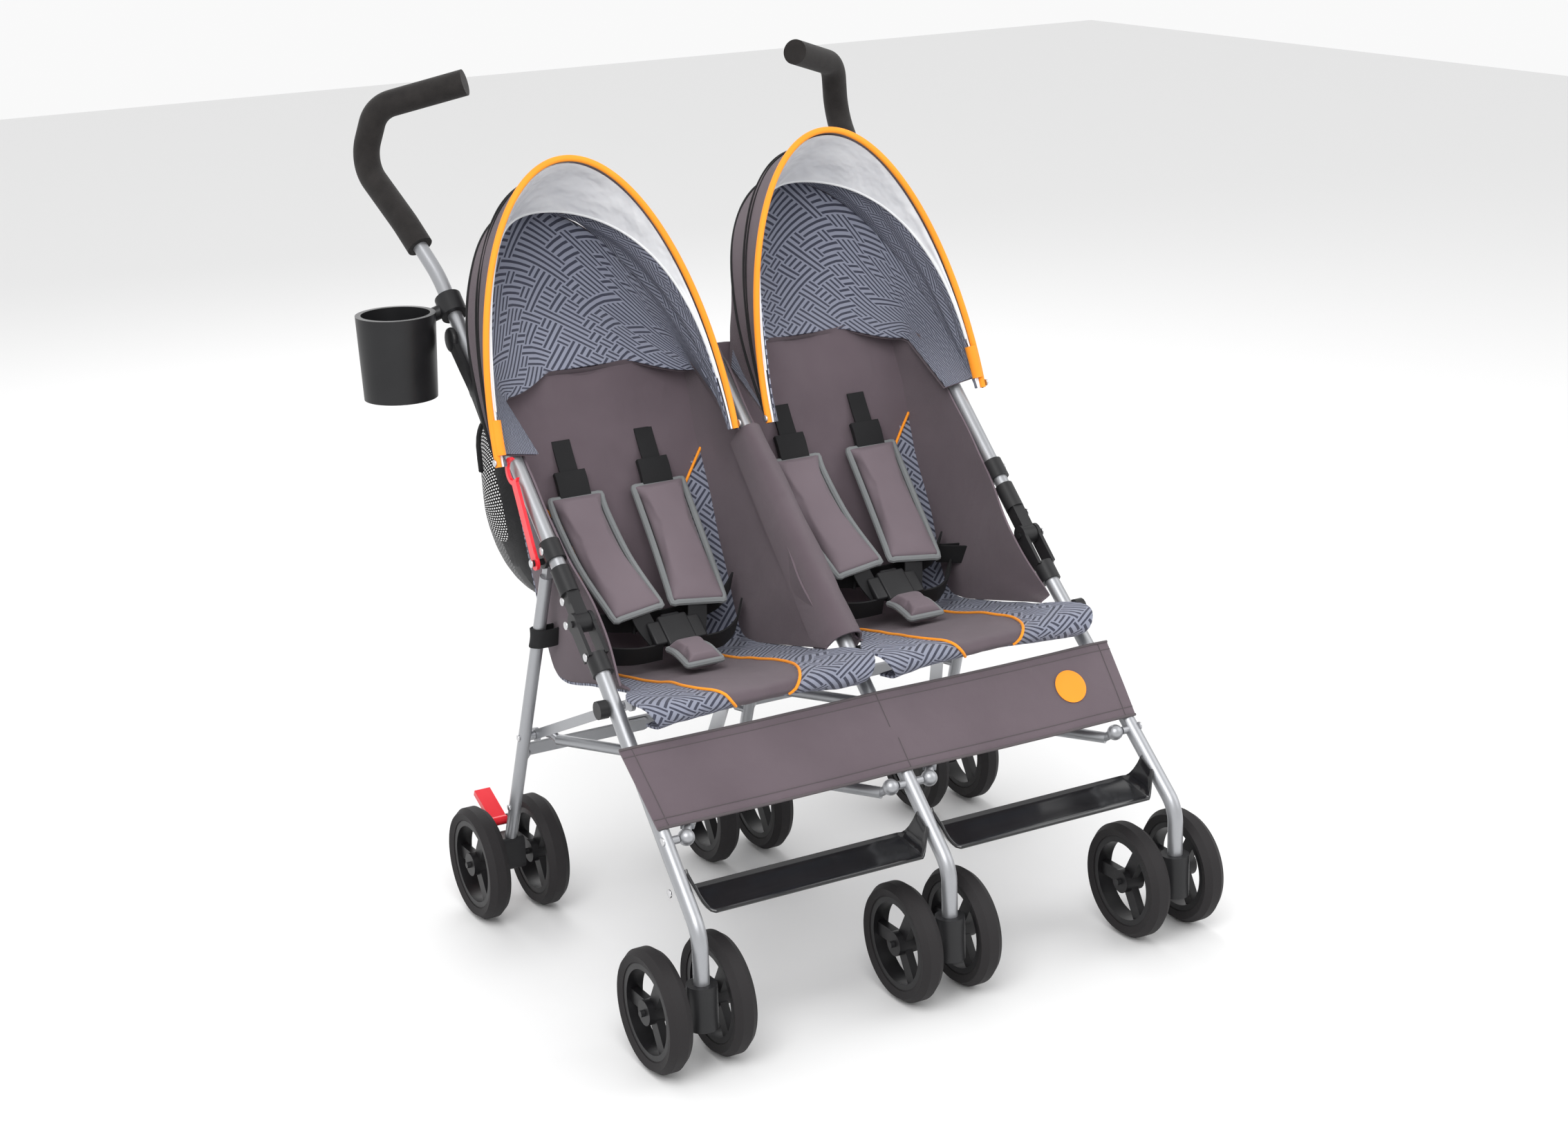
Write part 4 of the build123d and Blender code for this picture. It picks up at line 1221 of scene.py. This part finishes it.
for side, word in ((-1, "left"), (1, "right")):
    for body, made in side_rivets(side, word).items():
        dress(settle(join(f"rivets_{body}", made)), STEEL, body, "silver_paint")
        print(f"rivets_{body}:", len(made))

# %% [markdown]
# What is left is small: the black arm with two round clamps that holds each canopy to its tube, a
# webbing loop that ties the seat to the rear leg, an orange tab on each bow, and the bows' rivets.

# %% Clamps, leg straps and tabs
ARM_LINE = ((572, 742), (540, 716), (508, 690), (478, 658))
LOOP_LINE = ((-52, 22), (-20, 9), (4, 11), (12, 2), (4, -10), (-16, -10), (-34, 2), (-52, 17))
LOOP_Y, LOOP_Z = 383, 402
TAB_SHARES = (0.012, 0.02, 0.035, 0.05)      # places along the front bow

for side, word in ((-1, "left"), (1, "right")):
    out = (side, 0, 0)
    clamps = [dome("clamp", at(side * (SPACING + 14.5), y, z), out, r, 9.0)
              for y, z, r in ((572, 742, 16.0), (508, 690, 12.0))]
    arm = [at(side * (SPACING + 15), y, z) for y, z in ARM_LINE]
    clamps.append(strap("arm", arm, 0.017, 0.007, (0, -0.64, 0.77), 4))
    dress(settle(join(f"hood_clamp_{word}", clamps)), BLACK, f"handle_{word}", "black_plastic")

    loop = [at(side * (SPACING + dx), LOOP_Y + dy, LOOP_Z) for dx, dy in LOOP_LINE]
    leg_strap = strap(f"leg_strap_{word}", loop, 0.026, 0.0022, (0, -0.33, 0.94), 6)
    dress(leg_strap, WEBBING, f"handle_{word}", "webbing")

    tab = piping(f"hood_tab_{word}", [at(*arch_point(side, t, FRONT_BOW - 1.0, 4.0)) for t in TAB_SHARES],
                 0.0075, steps=4, sides=3)
    dress(tab, ORANGE, f"hood_{word}", "orange_trim", True)
    ends = []
    for t, s in ((0.0, 1), (1.0, -1)):
        end = at(*arch_point(side, t, FRONT_BOW, -1.0)) + Vector((side * s * 0.005, 0, 0.006))
        ends.append(dome("rivet", end, (side * s, 0, 0), 4.6))
    dress(settle(join(f"bow_rivets_{word}", ends)), STEEL, f"hood_{word}", "silver_paint", True)
print("trim in place")

# %% [markdown]
# The studio is plain: a pale floor, a nearly white world that lights everything softly, and three
# area lamps. The key lamp shapes the tubes, the fill opens the shadows, and the rim lamp lifts the
# canopies off the background. The world could light the scene alone, but it would look flat.

# %% Stage and lights
fresh()
bpy.ops.mesh.primitive_plane_add(size=14.0, location=(0, 2.0, -0.0008))
floor = bpy.context.object
floor.name = "floor"
settle(floor, outward=False)
floor.data.materials.append(Finish("floor", (0.80, 0.80, 0.80), 0.7).material)


def lamp(name, place, target, size, power):
    """A square lamp at a place, pointed at the target."""
    fresh()
    bpy.ops.object.light_add(type="AREA", location=place)
    o = bpy.context.object
    o.name = name
    o.data.size, o.data.energy = size, power
    o.rotation_euler = (Vector(target) - Vector(place)).to_track_quat("-Z", "Y").to_euler()
    return o


lamp("key", (-1.6, -2.2, 3.2), (0, 0, 0.5), 2.4, 90)
lamp("fill", (2.6, -1.6, 2.2), (0, 0, 0.5), 2.6, 30)
lamp("rim", (0.6, 2.8, 2.8), (0, 0, 0.6), 2.2, 40)
world = bpy.data.worlds.new("studio")
bpy.context.scene.world = world
world.use_nodes = True
sky = world.node_tree.nodes["Background"]
sky.inputs["Color"].default_value = (1, 1, 1, 1)
sky.inputs["Strength"].default_value = 0.95

# %% [markdown]
# The camera looks down on the stroller from the front left, at standing height. Its direction is
# built from three angles, because a turn about each axis in its own right is easy to adjust. The
# Standard view keeps the white background white and the cloth's colours as they were chosen.

# %% Camera
CAMERA_PLACE = at(-1547.6, -2465.1, 1430.3)
YAW, PITCH, ROLL = math.radians(28.912), math.radians(16.998), math.radians(-1.832)
ahead = Vector((math.sin(YAW) * math.cos(PITCH), math.cos(YAW) * math.cos(PITCH), -math.sin(PITCH)))
level = Vector((math.cos(YAW), -math.sin(YAW), 0))
upward = level.cross(ahead)
right = level * math.cos(ROLL) + upward * math.sin(ROLL)
up = upward * math.cos(ROLL) - level * math.sin(ROLL)
fresh()
bpy.ops.object.camera_add()
camera = bpy.context.object
facing = Matrix((right, up, -ahead)).transposed().to_4x4()
camera.matrix_world = Matrix.Translation(CAMERA_PLACE) @ facing
camera.data.lens = 60.93
camera.data.sensor_width = 36.0
bpy.context.scene.camera = camera
bpy.context.scene.view_settings.view_transform = "Standard"
print("camera at", [round(c, 3) for c in camera.location])
